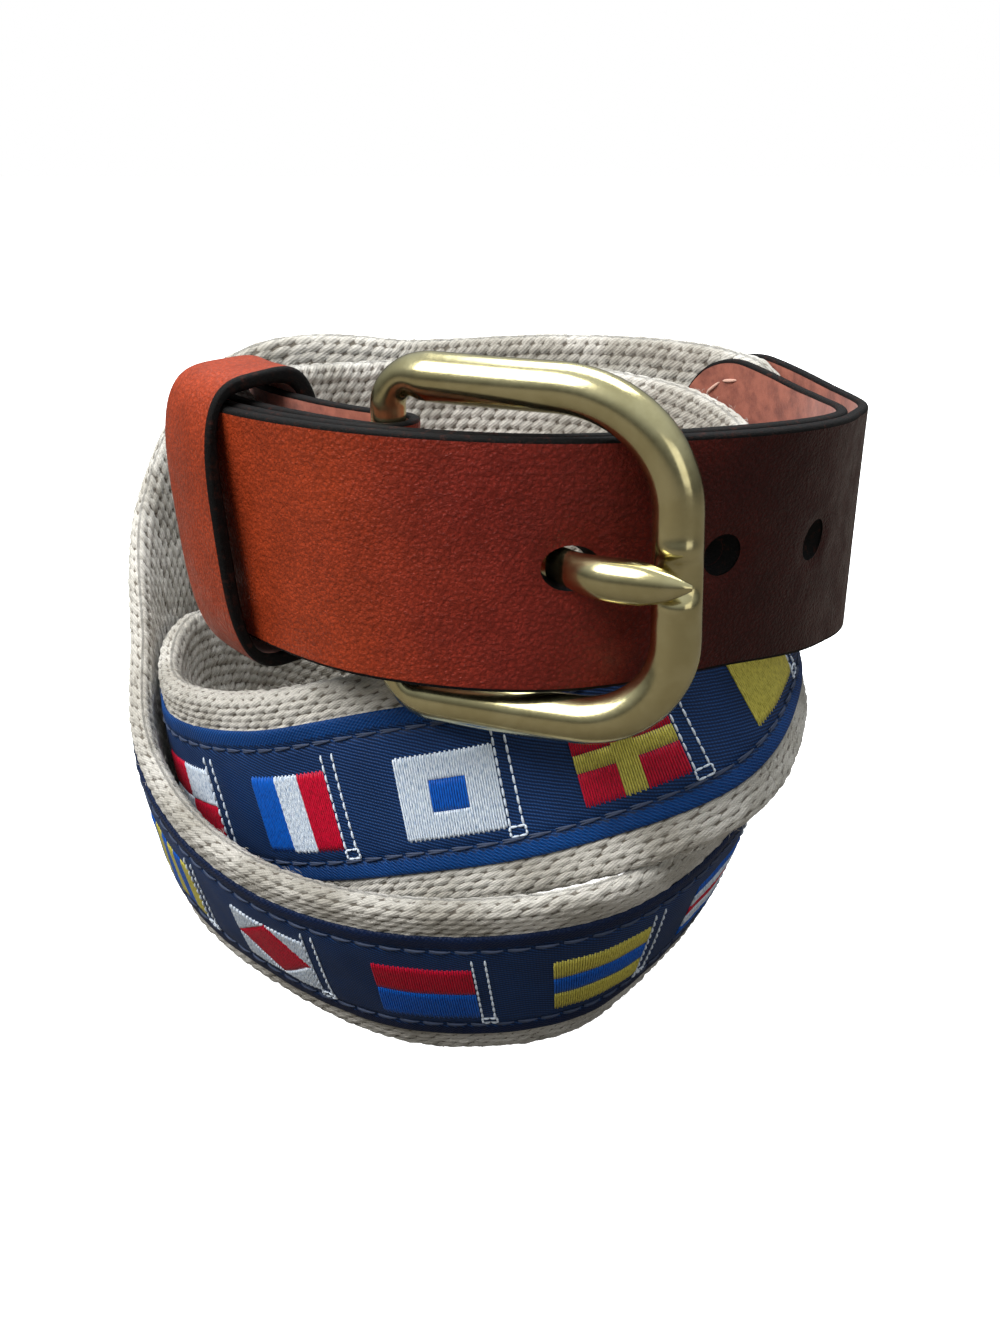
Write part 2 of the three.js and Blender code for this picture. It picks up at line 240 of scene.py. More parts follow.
class MeshBuilder:
    """Collects sheets and rings of points and makes one mesh object of them."""

    def __init__(self, name: str) -> None:
        """Starts an empty mesh.

        Args:
            name: The finished object's name.
        """
        self.name = name
        self.points: list[np.ndarray] = []
        self.faces: list[list[int]] = []
        self.corner_uv: list[np.ndarray] = []
        self.finish: list[np.ndarray] = []
        self.attributes: dict[str, list[np.ndarray]] = {}
        self.count = 0

    def add_sheet(self, points: np.ndarray, uv: np.ndarray, finish: int | np.ndarray = 0,
                  ring: bool = False, loop: bool = False, **attributes: np.ndarray) -> None:
        """Adds a grid of quads.

        Args:
            points: Rows of points along, columns across, shape (rows, columns, 3).
            uv: Pattern coordinates, with one more column on a ring and one more row on a loop.
            finish: Material number, one for all or one for each column of faces.
            ring: True where the last column joins the first.
            loop: True where the last row joins the first. An open ring gets end caps.
            attributes: Values for each point, shape (rows, columns) or (rows, columns, 3).
        """
        rows, columns = points.shape[:2]
        r = np.arange(rows if loop else rows - 1)[:, None]
        c = np.arange(columns if ring else columns - 1)[None, :]
        next_row, next_column = (r + 1) % rows, (c + 1) % columns
        spots = ((r, c), (r, next_column), (next_row, next_column), (next_row, c))
        quads = np.stack([np.broadcast_to(a * columns + b, (r.size, c.size)) for a, b in spots], -1)
        corners = np.stack([uv[r, c], uv[r, c + 1], uv[r + 1, c + 1], uv[r + 1, c]], 2)
        quads = quads.reshape(-1, 4)
        corners = corners.reshape(-1, 4, 2)
        flat = points.reshape(-1, 3)
        finish_cells = np.broadcast_to(np.asarray(finish), (r.size, c.size)).reshape(-1)
        closed = ring and (loop or rows > 1)
        turned = closed and signed_volume(flat, quads) < 0
        if turned:
            quads = quads[:, ::-1]
            corners = corners[:, ::-1]
        self.faces.extend((quads + self.count).tolist())
        self.corner_uv.append(corners.reshape(-1, 2))
        self.finish.append(finish_cells)
        if ring and not loop:
            for row, forward in ((0, turned), (rows - 1, not turned)):
                order = np.arange(columns) if forward else np.arange(columns)[::-1]
                self.faces.append((self.count + row * columns + order).tolist())
                self.corner_uv.append(uv[min(row, uv.shape[0] - 1), order])
                self.finish.append(np.array([int(finish_cells[0])]))
        self.points.append(flat)
        for name, values in attributes.items():
            depth = 3 if values.ndim == 3 else 1
            self.attributes.setdefault(name, []).append(values.reshape(-1, depth))
        self.count += len(flat)

    def build(self, materials: list[bpy.types.Material],
              sharp_degrees: float | None = None) -> bpy.types.Object:
        """Makes the object.

        Args:
            materials: The finishes that the faces' numbers count.
            sharp_degrees: Edges that turn by more than this stay sharp.
        Returns:
            The linked object, at the origin.
        """
        mesh = bpy.data.meshes.new(self.name)
        mesh.from_pydata(np.vstack(self.points).tolist(), [], self.faces)
        layer = mesh.uv_layers.new(name="strap")
        layer.data.foreach_set("uv", np.vstack(self.corner_uv).astype(np.float32).ravel())
        mesh.polygons.foreach_set("material_index", np.concatenate(self.finish).astype(np.int32))
        mesh.polygons.foreach_set("use_smooth", np.ones(len(mesh.polygons), bool))
        for name, values in self.attributes.items():
            joined = np.vstack(values).astype(np.float32)
            kind, key = ("FLOAT_VECTOR", "vector") if joined.shape[1] == 3 else ("FLOAT", "value")
            attribute = mesh.attributes.new(name, kind, "POINT")
            attribute.data.foreach_set(key, joined.ravel())
        for material in materials:
            mesh.materials.append(material)
        mesh.update()
        if sharp_degrees is not None:
            mesh.set_sharp_from_angle(angle=math.radians(sharp_degrees))
        piece = bpy.data.objects.new(self.name, mesh)
        bpy.context.scene.collection.objects.link(piece)
        return piece


def signed_volume(points: np.ndarray, quads: np.ndarray) -> float:
    """Gives six times the volume that the quads' cones from the first point enclose."""
    p = points[quads] - points[0]
    one = np.einsum("ij,ij->i", p[:, 0], np.cross(p[:, 1], p[:, 2]))
    two = np.einsum("ij,ij->i", p[:, 0], np.cross(p[:, 2], p[:, 3]))
    return float((one + two).sum())


class Zone(Enum):
    """Which side of a strap a face lies on; the values number a piece's materials."""

    FACE = 0
    EDGE = 1
    INSIDE = 2


@dataclass(frozen=True)
class StripSection:
    """The closed outline of a flat strip with rounded edges, as shares of its sizes."""

    face_share: np.ndarray
    face_corner: np.ndarray
    height_share: np.ndarray
    height_corner: np.ndarray
    zone: np.ndarray

    @classmethod
    def rounded(cls, across: int = 40, corner: int = 4, edge: int = 2) -> "StripSection":
        """Makes the outline.

        Args:
            across: Faces across each wide side.
            corner: Faces round each corner.
            edge: Faces up each narrow side between its corners.
        Returns:
            The outline, with a zone for each face from one point to the next.
        """
        points: list[tuple[float, float, float, float]] = []
        zones: list[int] = []

        def side(start: tuple, end: tuple, count: int, zone: Zone) -> None:
            for k in range(count):
                t = k / count
                mix = tuple(a + (b - a) * t for a, b in zip(start, end))
                points.append(mix)
                zones.append(zone.value)

        def turn(w: float, h: float, start: float) -> None:
            for k in range(corner):
                angle = math.radians(start - 90 * k / corner)
                points.append((w, math.cos(angle), h, math.sin(angle)))
                zones.append(Zone.EDGE.value)

        side((-1, 0, 1, 1), (1, 0, 1, 1), across, Zone.FACE)
        turn(1, 1, 90)
        side((1, 1, 1, 0), (1, 1, -1, 0), edge, Zone.EDGE)
        turn(1, -1, 0)
        side((1, 0, -1, -1), (-1, 0, -1, -1), across, Zone.INSIDE)
        turn(-1, -1, -90)
        side((-1, -1, -1, 0), (-1, -1, 1, 0), edge, Zone.EDGE)
        turn(-1, 1, 180)
        table = np.array(points)
        return cls(table[:, 0], table[:, 1], table[:, 2], table[:, 3], np.array(zones))

    def place(self, half: np.ndarray, low: np.ndarray, high: np.ndarray, radius: float) -> tuple:
        """Gives the outline's points for each row of a strap.

        Args:
            half: Half the width of each row.
            low: The inner face's height of each row.
            high: The outer face's height of each row.
            radius: The rounding of the edges.
        Returns:
            Two arrays (rows, points): across and outward, in millimetres.
        """
        half, low, high = (np.asarray(v, float)[:, None] for v in (half, low, high))
        radius_w = np.minimum(radius, half * 0.6)
        w = self.face_share * (half - radius_w) + self.face_corner * radius_w
        middle, reach = (low + high) / 2, (high - low) / 2
        round_n = np.minimum(radius, reach * 0.95)
        n = middle + self.height_share * (reach - round_n) + self.height_corner * round_n
        return w, n


def strip_uv(lengths: np.ndarray, w: np.ndarray, n: np.ndarray) -> np.ndarray:
    """Gives pattern coordinates on a closed strip: length, and distance round the outline."""
    row = len(w) // 2
    ring_w = np.append(w[row], w[row, 0])
    ring_n = np.append(n[row], n[row, 0])
    round_it = np.concatenate([[0.0], np.cumsum(np.hypot(np.diff(ring_w), np.diff(ring_n)))])
    return np.stack(np.broadcast_arrays(lengths[:, None], round_it[None, :]), -1)


class Bench:
    """Short ways to place and join nodes in one tree."""

    def __init__(self, tree: bpy.types.NodeTree) -> None:
        """Keeps the tree.

        Args:
            tree: A shader or geometry node tree.
        """
        self.tree = tree

    def node(self, kind: str, settings: dict | None = None, **inputs: object) -> bpy.types.Node:
        """Adds a node.

        Args:
            kind: The node's type name.
            settings: Properties to set on it.
            inputs: Input values or sockets to link, by name with underscores for spaces.
        Returns:
            The node.
        """
        made = self.tree.nodes.new(kind)
        for key, value in (settings or {}).items():
            setattr(made, key, value)
        for key, value in inputs.items():
            self.feed(made.inputs[key.replace("_", " ")], value)
        return made

    def feed(self, socket: bpy.types.NodeSocket, value: object) -> None:
        """Links a socket to an output, or sets its value."""
        if isinstance(value, bpy.types.NodeSocket):
            self.tree.links.new(value, socket)
        else:
            socket.default_value = value

    def math(self, operation: str, a: object, b: object = 0.0, c: object = 0.0) -> bpy.types.NodeSocket:
        """Adds a math node and gives its result."""
        made = self.tree.nodes.new("ShaderNodeMath")
        made.operation = operation
        for socket, value in zip(made.inputs, (a, b, c)):
            self.feed(socket, value)
        return made.outputs[0]

    def times(self, a: object, b: object) -> bpy.types.NodeSocket:
        """Multiplies two values."""
        return self.math("MULTIPLY", a, b)

    def plus(self, a: object, b: object) -> bpy.types.NodeSocket:
        """Adds two values."""
        return self.math("ADD", a, b)

    def dome(self, distance: object, spread: object) -> bpy.types.NodeSocket:
        """Gives the height of a round yarn: 1 over its middle, 0 where the spread ends."""
        away = self.math("DIVIDE", distance, spread)
        inside = self.math("SUBTRACT", 1.0, self.times(away, away))
        return self.math("SQRT", self.math("MAXIMUM", inside, 0.0))

    def ramp(self, value: object, low: float, high: float,
             to_low: float = 0.0, to_high: float = 1.0) -> bpy.types.NodeSocket:
        """Maps a value between two limits to another range, clamped and smooth."""
        made = self.node("ShaderNodeMapRange", {"interpolation_type": "SMOOTHSTEP"}, Value=value,
                         From_Min=low, From_Max=high, To_Min=to_low, To_Max=to_high)
        return made.outputs[0]

    def mix(self, share: object, a: object, b: object, blend: str = "MIX") -> bpy.types.NodeSocket:
        """Mixes two colours."""
        made = self.tree.nodes.new("ShaderNodeMix")
        made.data_type = "RGBA"
        made.blend_type = blend
        self.feed(made.inputs[0], share)
        self.feed(made.inputs[6], a)
        self.feed(made.inputs[7], b)
        return made.outputs[2]

    def shade(self, colour: object, factor: object) -> bpy.types.NodeSocket:
        """Multiplies a colour by one value."""
        grey = self.node("ShaderNodeCombineColor", Red=factor, Green=factor, Blue=factor)
        return self.mix(1.0, colour, grey.outputs[0], "MULTIPLY")

    def group(self, tree: bpy.types.NodeTree, **inputs: object) -> bpy.types.NodeSocket:
        """Adds a node group and gives its value."""
        return self.node("ShaderNodeGroup", {"node_tree": tree}, **inputs).outputs[0]

    def noise(self, vector: object, scale: float, detail: float = 3.0,
              roughness: float = 0.55) -> bpy.types.NodeSocket:
        """Adds a noise texture and gives its value."""
        return self.node("ShaderNodeTexNoise", Vector=vector, Scale=scale, Detail=detail,
                         Roughness=roughness).outputs[0]

    def in_mm(self) -> bpy.types.NodeSocket:
        """Gives the Object coordinates in millimetres."""
        where = self.tree.nodes.new("ShaderNodeTexCoord")
        scaled = self.node("ShaderNodeVectorMath", {"operation": "SCALE"}, Vector=where.outputs["Object"])
        scaled.inputs["Scale"].default_value = 1 / MM
        return scaled.outputs[0]

    def strap_uv(self) -> tuple[bpy.types.NodeSocket, bpy.types.NodeSocket, bpy.types.NodeSocket]:
        """Gives the strap's own coordinates in millimetres: both, along and across."""
        where = self.node("ShaderNodeUVMap", {"uv_map": "strap"}).outputs[0]
        parts = self.node("ShaderNodeSeparateXYZ", Vector=where)
        return where, parts.outputs[0], parts.outputs[1]

    def stretched(self, along: object, across: object, x: float, y: float) -> bpy.types.NodeSocket:
        """Gives a vector of the two coordinates, each times its own number."""
        made = self.node("ShaderNodeCombineXYZ")
        self.feed(made.inputs[0], self.times(along, x))
        self.feed(made.inputs[1], self.times(across, y))
        return made.outputs[0]


def linear(red: int, green: int, blue: int) -> tuple[float, float, float, float]:
    """Gives a screen colour of 0 to 255 as the shader's own colour."""
    values = []
    for part in (red, green, blue):
        share = part / 255
        values.append(share / 12.92 if share <= 0.04045 else ((share + 0.055) / 1.055) ** 2.4)
    return (values[0], values[1], values[2], 1.0)


def value_group(name: str, inputs: dict[str, float], make: Callable) -> bpy.types.NodeTree:
    """Builds a shader node group that puts out one value, once.

    Args:
        name: The group's name.
        inputs: Names and first values of its number inputs.
        make: Called with the bench and the sockets by name, gives the result's socket.
    Returns:
        The group.
    """
    found = bpy.data.node_groups.get(name)
    if found:
        return found
    tree = bpy.data.node_groups.new(name, "ShaderNodeTree")
    tree.interface.new_socket("Value", in_out="OUTPUT", socket_type="NodeSocketFloat")
    for key, first in inputs.items():
        socket = tree.interface.new_socket(key, in_out="INPUT", socket_type="NodeSocketFloat")
        socket.default_value = first
    bench = Bench(tree)
    entry = tree.nodes.new("NodeGroupInput")
    leave = tree.nodes.new("NodeGroupOutput")
    sockets = {key: entry.outputs[key] for key in inputs}
    bench.feed(leave.inputs["Value"], make(bench, sockets))
    return tree


def fibre_group() -> bpy.types.NodeTree:
    """Fine fibres that run at a slant through a yarn, as a height from 0 to 1."""
    def make(bench: Bench, sockets: dict) -> bpy.types.NodeSocket:
        _, along, across = bench.strap_uv()
        lean = bench.times(along, sockets["Slant"])
        shifted = bench.plus(across, lean)
        made = bench.node("ShaderNodeCombineXYZ")
        bench.feed(made.inputs[0], bench.times(along, sockets["Along"]))
        bench.feed(made.inputs[1], bench.times(shifted, sockets["Across"]))
        return bench.noise(made.outputs[0], 1.0, 3.0, 0.6)

    return value_group("yarn_fibres", {"Along": 1.2, "Across": 9.0, "Slant": 0.4}, make)


def grain_group() -> bpy.types.NodeTree:
    """Fine pebbles on Object coordinates, for leather and cast metal, from 0 to 1."""
    def make(bench: Bench, sockets: dict) -> bpy.types.NodeSocket:
        where = bench.in_mm()
        pebble = bench.node("ShaderNodeTexVoronoi", {"feature": "SMOOTH_F1"}, Vector=where,
                            Scale=sockets["Pebbles"], Smoothness=0.6)
        fine = bench.node("ShaderNodeTexNoise", Vector=where, Scale=sockets["Speckle"], Detail=2.0)
        share = bench.times(fine.outputs[0], 0.6)
        return bench.plus(bench.times(pebble.outputs[0], 0.6), share)

    return value_group("fine_grain", {"Pebbles": 2.2, "Speckle": 5.0}, make)


def start_material(name: str) -> tuple[bpy.types.Material, Bench, bpy.types.Node]:
    """Makes an empty node material.

    Args:
        name: The material's name.
    Returns:
        The material, its bench and its Principled BSDF.
    """
    material = bpy.data.materials.new(name)
    material.use_nodes = True
    bench = Bench(material.node_tree)
    return material, bench, material.node_tree.nodes["Principled BSDF"]


def preset(shader: bpy.types.Node, **values: object) -> None:
    """Sets a shader's inputs, by name with underscores for spaces."""
    for key, value in values.items():
        shader.inputs[key.replace("_", " ")].default_value = value


def bump(bench: Bench, shader: bpy.types.Node, height: object, strength: float, distance: float) -> None:
    """Feeds a height to the shader's normal.

    Args:
        bench: The material's bench.
        shader: Its Principled BSDF.
        height: The height's socket, 0 to 1.
        strength: The bump's strength.
        distance: The relief's height in millimetres.
    """
    made = bench.node("ShaderNodeBump", Height=height, Strength=strength, Distance=distance * MM)
    bench.feed(shader.inputs["Normal"], made.outputs[0])


@dataclass(frozen=True)
class CottonFinish:
    """Matte oatmeal cotton yarn, with painted shade down between the yarns."""

    light: tuple = linear(210, 206, 197)
    middle: tuple = linear(176, 171, 160)
    # Painted shade: the colour down between the yarns.
    gap: tuple = linear(108, 101, 90)

    def build(self) -> bpy.types.Material:
        """Makes the material."""
        material, bench, shader = start_material("oatmeal_cotton")
        lattice = bench.node("ShaderNodeAttribute", {"attribute_name": "lattice"}).outputs["Vector"]
        cells = bench.node("ShaderNodeTexVoronoi", {"voronoi_dimensions": "2D", "feature": "F1"},
                           Vector=lattice, Scale=1.0, Randomness=YARN_RANDOMNESS)
        dome = bench.dome(cells.outputs["Distance"], YARN_SPREAD)
        local = bench.node("ShaderNodeVectorMath", {"operation": "SUBTRACT"})
        bench.feed(local.inputs[0], lattice)
        bench.feed(local.inputs[1], cells.outputs["Position"])
        parts = bench.node("ShaderNodeSeparateXYZ", Vector=local.outputs[0])
        lean = bench.plus(bench.times(parts.outputs[0], 2.6),
                          bench.times(parts.outputs[1], 1.5))
        strand = bench.ramp(bench.math("SINE", bench.times(lean, 2 * math.pi)), -1.0, 0.6)
        fibres = bench.group(fibre_group(), Along=1.4, Across=7.5, Slant=-0.45)
        broad = bench.noise(bench.in_mm(), 0.11, 2.0)
        tone = bench.mix(bench.ramp(broad, 0.35, 0.65), self.middle, self.light)
        streak = bench.ramp(fibres, 0.3, 0.7, 0.74, 1.0)
        # Painted highlight and shade on each yarn's twist: its ridges lighter, its grooves darker; both
        # carries this with the fibre streaks.
        ply = bench.plus(0.84, bench.times(strand, 0.16))
        both = bench.times(streak, ply)
        tone = bench.shade(tone, both)
        # Painted shade between the yarns: the gap colour where each yarn's dome falls away.
        bench.feed(shader.inputs["Base Color"], bench.mix(bench.ramp(dome, 0.0, 0.62), self.gap, tone))
        preset(shader, Roughness=0.95, Specular_IOR_Level=0.15, Sheen_Weight=0.25, Sheen_Roughness=0.6)
        relief = bench.plus(bench.times(dome, 0.6), bench.times(strand, 0.16))
        relief = bench.plus(relief, bench.times(fibres, 0.5))
        bump(bench, shader, relief, 0.75, 0.4)
        return material


@dataclass(frozen=True)
class TwillFinish:
    """Navy satin ribbon: slanted twill lines with a painted highlight, and a brighter selvedge along both
    edges that turns to painted shade further along the strap.
    """

    ground: tuple = linear(7, 29, 62)
    # The twill lines' colour: a painted highlight on the weave's ridges.
    line: tuple = linear(30, 72, 130)
    selvedge: tuple = linear(0, 46, 100)
    tooth: tuple = linear(6, 84, 160)
    # Painted shade: the selvedge's colour from fade_start to fade_end and beyond, where the strap lies in
    # shadow.
    selvedge_in_painted_shade: tuple = linear(6, 26, 60)
    fade_start: float = 380.0
    fade_end: float = 440.0
    pitch: float = 0.47
    slant: float = 0.42
    selvedge_width: float = 2.0

    def build(self) -> bpy.types.Material:
        """Makes the material."""
        material, bench, shader = start_material("navy_twill")
        _, along, across = bench.strap_uv()
        climb = bench.math("SUBTRACT", across, bench.times(along, self.slant))
        wobble = bench.noise(bench.stretched(along, across, 0.5, 0.5), 1.0, 2.0)
        phase = bench.plus(climb, bench.times(wobble, 0.25))
        wave = bench.math("SINE", bench.times(phase, 2 * math.pi / self.pitch))
        ridge = bench.ramp(wave, -0.5, 1.0)
        cross = bench.math("SINE", bench.times(along, 2 * math.pi / 0.36))
        dashes = bench.ramp(cross, -1.0, 0.2, 0.45, 1.0)
        twill = bench.times(ridge, dashes)
        side = bench.math("ABSOLUTE", across)
        inner = SIZE.ribbon_half_width - self.selvedge_width
        teeth = bench.times(bench.math("PINGPONG", along, 0.55), 0.7)
        band = bench.ramp(bench.plus(side, teeth), inner, inner + 0.3)
        small = bench.math("SINE", bench.times(bench.plus(along, side), 2 * math.pi / 0.55))
        small = bench.ramp(small, 0.1, 1.0)
        # The twill is the weave's own pattern; its lighter lines are a painted highlight on the ridges.
        cloth = bench.mix(bench.times(twill, 0.75), self.ground, self.line)
        border = bench.mix(bench.times(small, 0.5), self.selvedge, self.tooth)
        # From fade_start to fade_end the selvedge turns to painted shade and stays so beyond.
        border = bench.mix(bench.ramp(along, self.fade_start, self.fade_end), border, self.selvedge_in_painted_shade)
        patch = bench.ramp(bench.noise(bench.in_mm(), 0.09, 2.0), 0.3, 0.7, 0.82, 1.12)
        bench.feed(shader.inputs["Base Color"], bench.shade(bench.mix(band, cloth, border), patch))
        preset(shader, Roughness=0.5, Specular_IOR_Level=0.16, Sheen_Weight=0.02, Anisotropic=0.4)
        height = bench.plus(bench.times(twill, 0.8), bench.times(small, band))
        bump(bench, shader, height, 0.7, 0.1)
        return material


class ThreadColour(Enum):
    """Colours of the embroidery threads; the values number the flags' materials."""

    WHITE = 0
    RED = 1
    BLUE = 2
    YELLOW = 3
    BLACK = 4


@dataclass(frozen=True)
class ThreadFinish:
    """Glossy embroidery thread with fine filaments along it."""

    name: str
    colour: tuple
    shade: tuple
    roughness: float = 0.42
    sheen: float = 0.03
    filament: float = 12.0

    def build(self) -> bpy.types.Material:
        """Makes the material."""
        material, bench, shader = start_material(self.name)
        _, along, across = bench.strap_uv()
        streak = bench.noise(bench.stretched(along, across, self.filament, 1.3), 1.0, 2.0)
        colour = bench.mix(bench.ramp(streak, 0.3, 0.62), self.shade, self.colour)
        bench.feed(shader.inputs["Base Color"], colour)
        preset(shader, Roughness=self.roughness, Specular_IOR_Level=0.25, Sheen_Weight=self.sheen)
        bump(bench, shader, streak, 0.5, 0.05)
        return material


FLAG_THREADS = {
    ThreadColour.WHITE: ThreadFinish("white_thread", linear(232, 240, 248), linear(150, 172, 200)),
    ThreadColour.RED: ThreadFinish("red_thread", linear(206, 4, 50), linear(150, 0, 32)),
    ThreadColour.BLUE: ThreadFinish("blue_thread", linear(0, 96, 200), linear(0, 66, 150)),
    ThreadColour.YELLOW: ThreadFinish("yellow_thread", linear(210, 200, 92), linear(160, 150, 60)),
    ThreadColour.BLACK: ThreadFinish("black_thread", linear(24, 24, 28), linear(12, 12, 14)),
}


@dataclass(frozen=True)
class LeatherFinish:
    """Burnished bridle leather: fine pebbles, and a colour that deepens along the strap, partly its dye and
    partly painted shade toward the side that the light leaves dark.
    """

    name: str = "bridle_leather"
    # Cognac, russet and oxblood: the dye's colours, darker toward the right partly as painted shade.
    cognac: tuple = linear(148, 55, 27)
    russet: tuple = linear(116, 36, 27)
    oxblood: tuple = linear(50, 9, 7)
    roughness: float = 0.34

    def build(self) -> bpy.types.Material:
        """Makes the material."""
        material, bench, shader = start_material(self.name)
        where = bench.in_mm()
        parts = bench.node("ShaderNodeSeparateXYZ", Vector=where)
        grain = bench.group(grain_group(), Pebbles=1.9, Speckle=4.5)
        cloud = bench.times(bench.math("SUBTRACT", bench.noise(where, 0.05, 4.0), 0.5), 26.0)
        place = bench.plus(parts.outputs[0], cloud)
        # Cognac on the left through russet to oxblood on the right: partly the leather's dye, partly painted
        # shade that darkens the right side as if lit from the left.
        first = bench.mix(bench.ramp(place, -26.0, 6.0), self.cognac, self.russet)
        dye_and_painted_shade = bench.mix(bench.ramp(place, 2.0, 38.0), first, self.oxblood)
        mottle = bench.ramp(bench.noise(where, 0.16, 3.0), 0.32, 0.7, 0.9, 1.1)
        # The pebbles lighter and the dips between them darker: partly the grain's own tone, partly painted
        # glint on the pebbles and painted shade between them.
        grain_tone_and_painted_glint = bench.ramp(grain, 0.25, 0.75, 1.25, 0.74)
        both = bench.times(mottle, grain_tone_and_painted_glint)
        bench.feed(shader.inputs["Base Color"], bench.shade(dye_and_painted_shade, both))
        rubbed = bench.noise(where, 0.25, 3.0)
        rough = bench.ramp(rubbed, 0.3, 0.7, self.roughness - 0.06, self.roughness + 0.1)
        bench.feed(shader.inputs["Roughness"], rough)
        preset(shader, Specular_IOR_Level=0.16)
        bump(bench, shader, grain, 1.0, 0.24)
        return material


@dataclass(frozen=True)
class SuedeFinish:
    """The leather's flesh side: pinkish brown and matte."""

    light: tuple = linear(158, 90, 70)
    dark: tuple = linear(112, 56, 42)

    def build(self) -> bpy.types.Material:
        """Makes the material."""
        material, bench, shader = start_material("leather_flesh_side")
        where = bench.in_mm()
        cloud = bench.noise(where, 0.35, 5.0, 0.65)
        fine = bench.noise(where, 4.0, 4.0, 0.7)
        colour = bench.mix(bench.ramp(cloud, 0.3, 0.7), self.dark, self.light)
        bench.feed(shader.inputs["Base Color"], colour)
        preset(shader, Roughness=0.75, Sheen_Weight=0.2)
        bump(bench, shader, fine, 0.6, 0.12)
        return material


@dataclass(frozen=True)
class InkedEdgeFinish:
    """Black edge ink over cut leather, worn thin in places."""

    ink: tuple = linear(4, 3, 3)
    worn: tuple = linear(52, 22, 14)

    def build(self) -> bpy.types.Material:
        """Makes the material."""
        material, bench, shader = start_material("inked_edge")
        where = bench.in_mm()
        wear = bench.ramp(bench.noise(where, 0.9, 5.0, 0.7), 0.52, 0.74)
        fuzz = bench.noise(where, 5.0, 3.0, 0.7)
        bench.feed(shader.inputs["Base Color"], bench.mix(wear, self.ink, self.worn))
        preset(shader, Roughness=0.66, Specular_IOR_Level=0.14)
        bump(bench, shader, fuzz, 0.9, 0.2)
        return material


@dataclass(frozen=True)
class BrassFinish:
    """Satin antique brass, pale and slightly green, with a fine cast grain."""

    bright: tuple = linear(204, 195, 150)
    dull: tuple = linear(190, 180, 134)
    roughness: float = 0.18

    def build(self) -> bpy.types.Material:
        """Makes the material."""
        material, bench, shader = start_material("satin_brass")
        where = bench.in_mm()
        grain = bench.group(grain_group(), Pebbles=1.6, Speckle=3.0)
        cloud = bench.noise(where, 0.22, 4.0, 0.6)
        metal = bench.mix(bench.ramp(cloud, 0.35, 0.66), self.dull, self.bright)
        bench.feed(shader.inputs["Base Color"], metal)
        preset(shader, Metallic=1.0)
        rough = bench.ramp(grain, 0.2, 0.8, self.roughness - 0.02, self.roughness + 0.04)
        bench.feed(shader.inputs["Roughness"], rough)
        bump(bench, shader, grain, 0.06, 0.02)
        return material


@dataclass(frozen=True)
class PaperFinish:
    """The pale studio floor, which runs into white away from the belt."""

    colour: tuple = linear(246, 246, 244)
    reflected: tuple = linear(92, 86, 78)
    near: float = 55.0
    far: float = 170.0
    least: float = 0.7

    def build(self) -> bpy.types.Material:
        """Makes the material."""
        material, bench, shader = start_material("studio_paper")
        where = bench.in_mm()
        away = bench.node("ShaderNodeVectorMath", {"operation": "LENGTH"}, Vector=where).outputs["Value"]
        path = material.node_tree.nodes.new("ShaderNodeLightPath")
        seen = path.outputs["Is Camera Ray"]
        bench.feed(shader.inputs["Base Color"], bench.mix(seen, self.reflected, self.colour))
        preset(shader, Roughness=0.9, Emission_Color=(1.0, 1.0, 1.0, 1.0))
        glow = bench.ramp(away, self.near, self.far, self.least, 1.0)
        bench.feed(shader.inputs["Emission Strength"], bench.times(glow, seen))
        return material


def geometry_tree(name: str, inputs: dict[str, str]) -> tuple[bpy.types.NodeTree, dict, Bench]:
    """Starts a Geometry Nodes tree.

    Args:
        name: The tree's name.
        inputs: Socket types by input name, after Geometry.
    Returns:
        The tree, its input sockets by name, and its bench.
    """
    tree = bpy.data.node_groups.new(name, "GeometryNodeTree")
    tree.is_modifier = True
    tree.interface.new_socket("Geometry", in_out="INPUT", socket_type="NodeSocketGeometry")
    for key, kind in inputs.items():
        tree.interface.new_socket(key, in_out="INPUT", socket_type=kind)
    tree.interface.new_socket("Geometry", in_out="OUTPUT", socket_type="NodeSocketGeometry")
    entry = tree.nodes.new("NodeGroupInput")
    sockets = {"Geometry": entry.outputs["Geometry"]}
    sockets.update({key: entry.outputs[key] for key in inputs})
    return tree, sockets, Bench(tree)


def close_tree(bench: Bench, geometry: bpy.types.NodeSocket, material: bpy.types.NodeSocket) -> None:
    """Ends a tree in Realize Instances and Set Material."""
    solid = bench.node("GeometryNodeRealizeInstances", Geometry=geometry)
    smooth = bench.node("GeometryNodeSetShadeSmooth", Geometry=solid.outputs[0])
    dressed = bench.node("GeometryNodeSetMaterial", Geometry=smooth.outputs[0], Material=material)
    leave = bench.tree.nodes.new("NodeGroupOutput")
    bench.feed(leave.inputs["Geometry"], dressed.outputs[0])


def keep_result(piece: bpy.types.Object) -> None:
    """Keeps what a piece's modifiers make of it as its plain mesh."""
    bpy.context.view_layer.update()
    evaluated = piece.evaluated_get(bpy.context.evaluated_depsgraph_get())
    result = bpy.data.meshes.new_from_object(evaluated)
    old = piece.data
    piece.modifiers.clear()
    piece.data = result
    result.name = piece.name
    bpy.data.meshes.remove(old)


def apply_tree(piece: bpy.types.Object, tree: bpy.types.NodeTree,
               values: dict[str, object]) -> bpy.types.Object:
    """Runs a tree on a piece and keeps its result as the piece's plain mesh.

    Args:
        piece: The object that holds the tree's input.
        tree: The Geometry Nodes tree.
        values: Values of its inputs by name.
    Returns:
        The same object with the new mesh.
    """
    modifier = piece.modifiers.new(tree.name, "NODES")
    modifier.node_group = tree
    for item in tree.interface.items_tree:
        if item.in_out == "INPUT" and item.name in values:
            modifier[item.identifier] = values[item.name]
    keep_result(piece)
    return piece


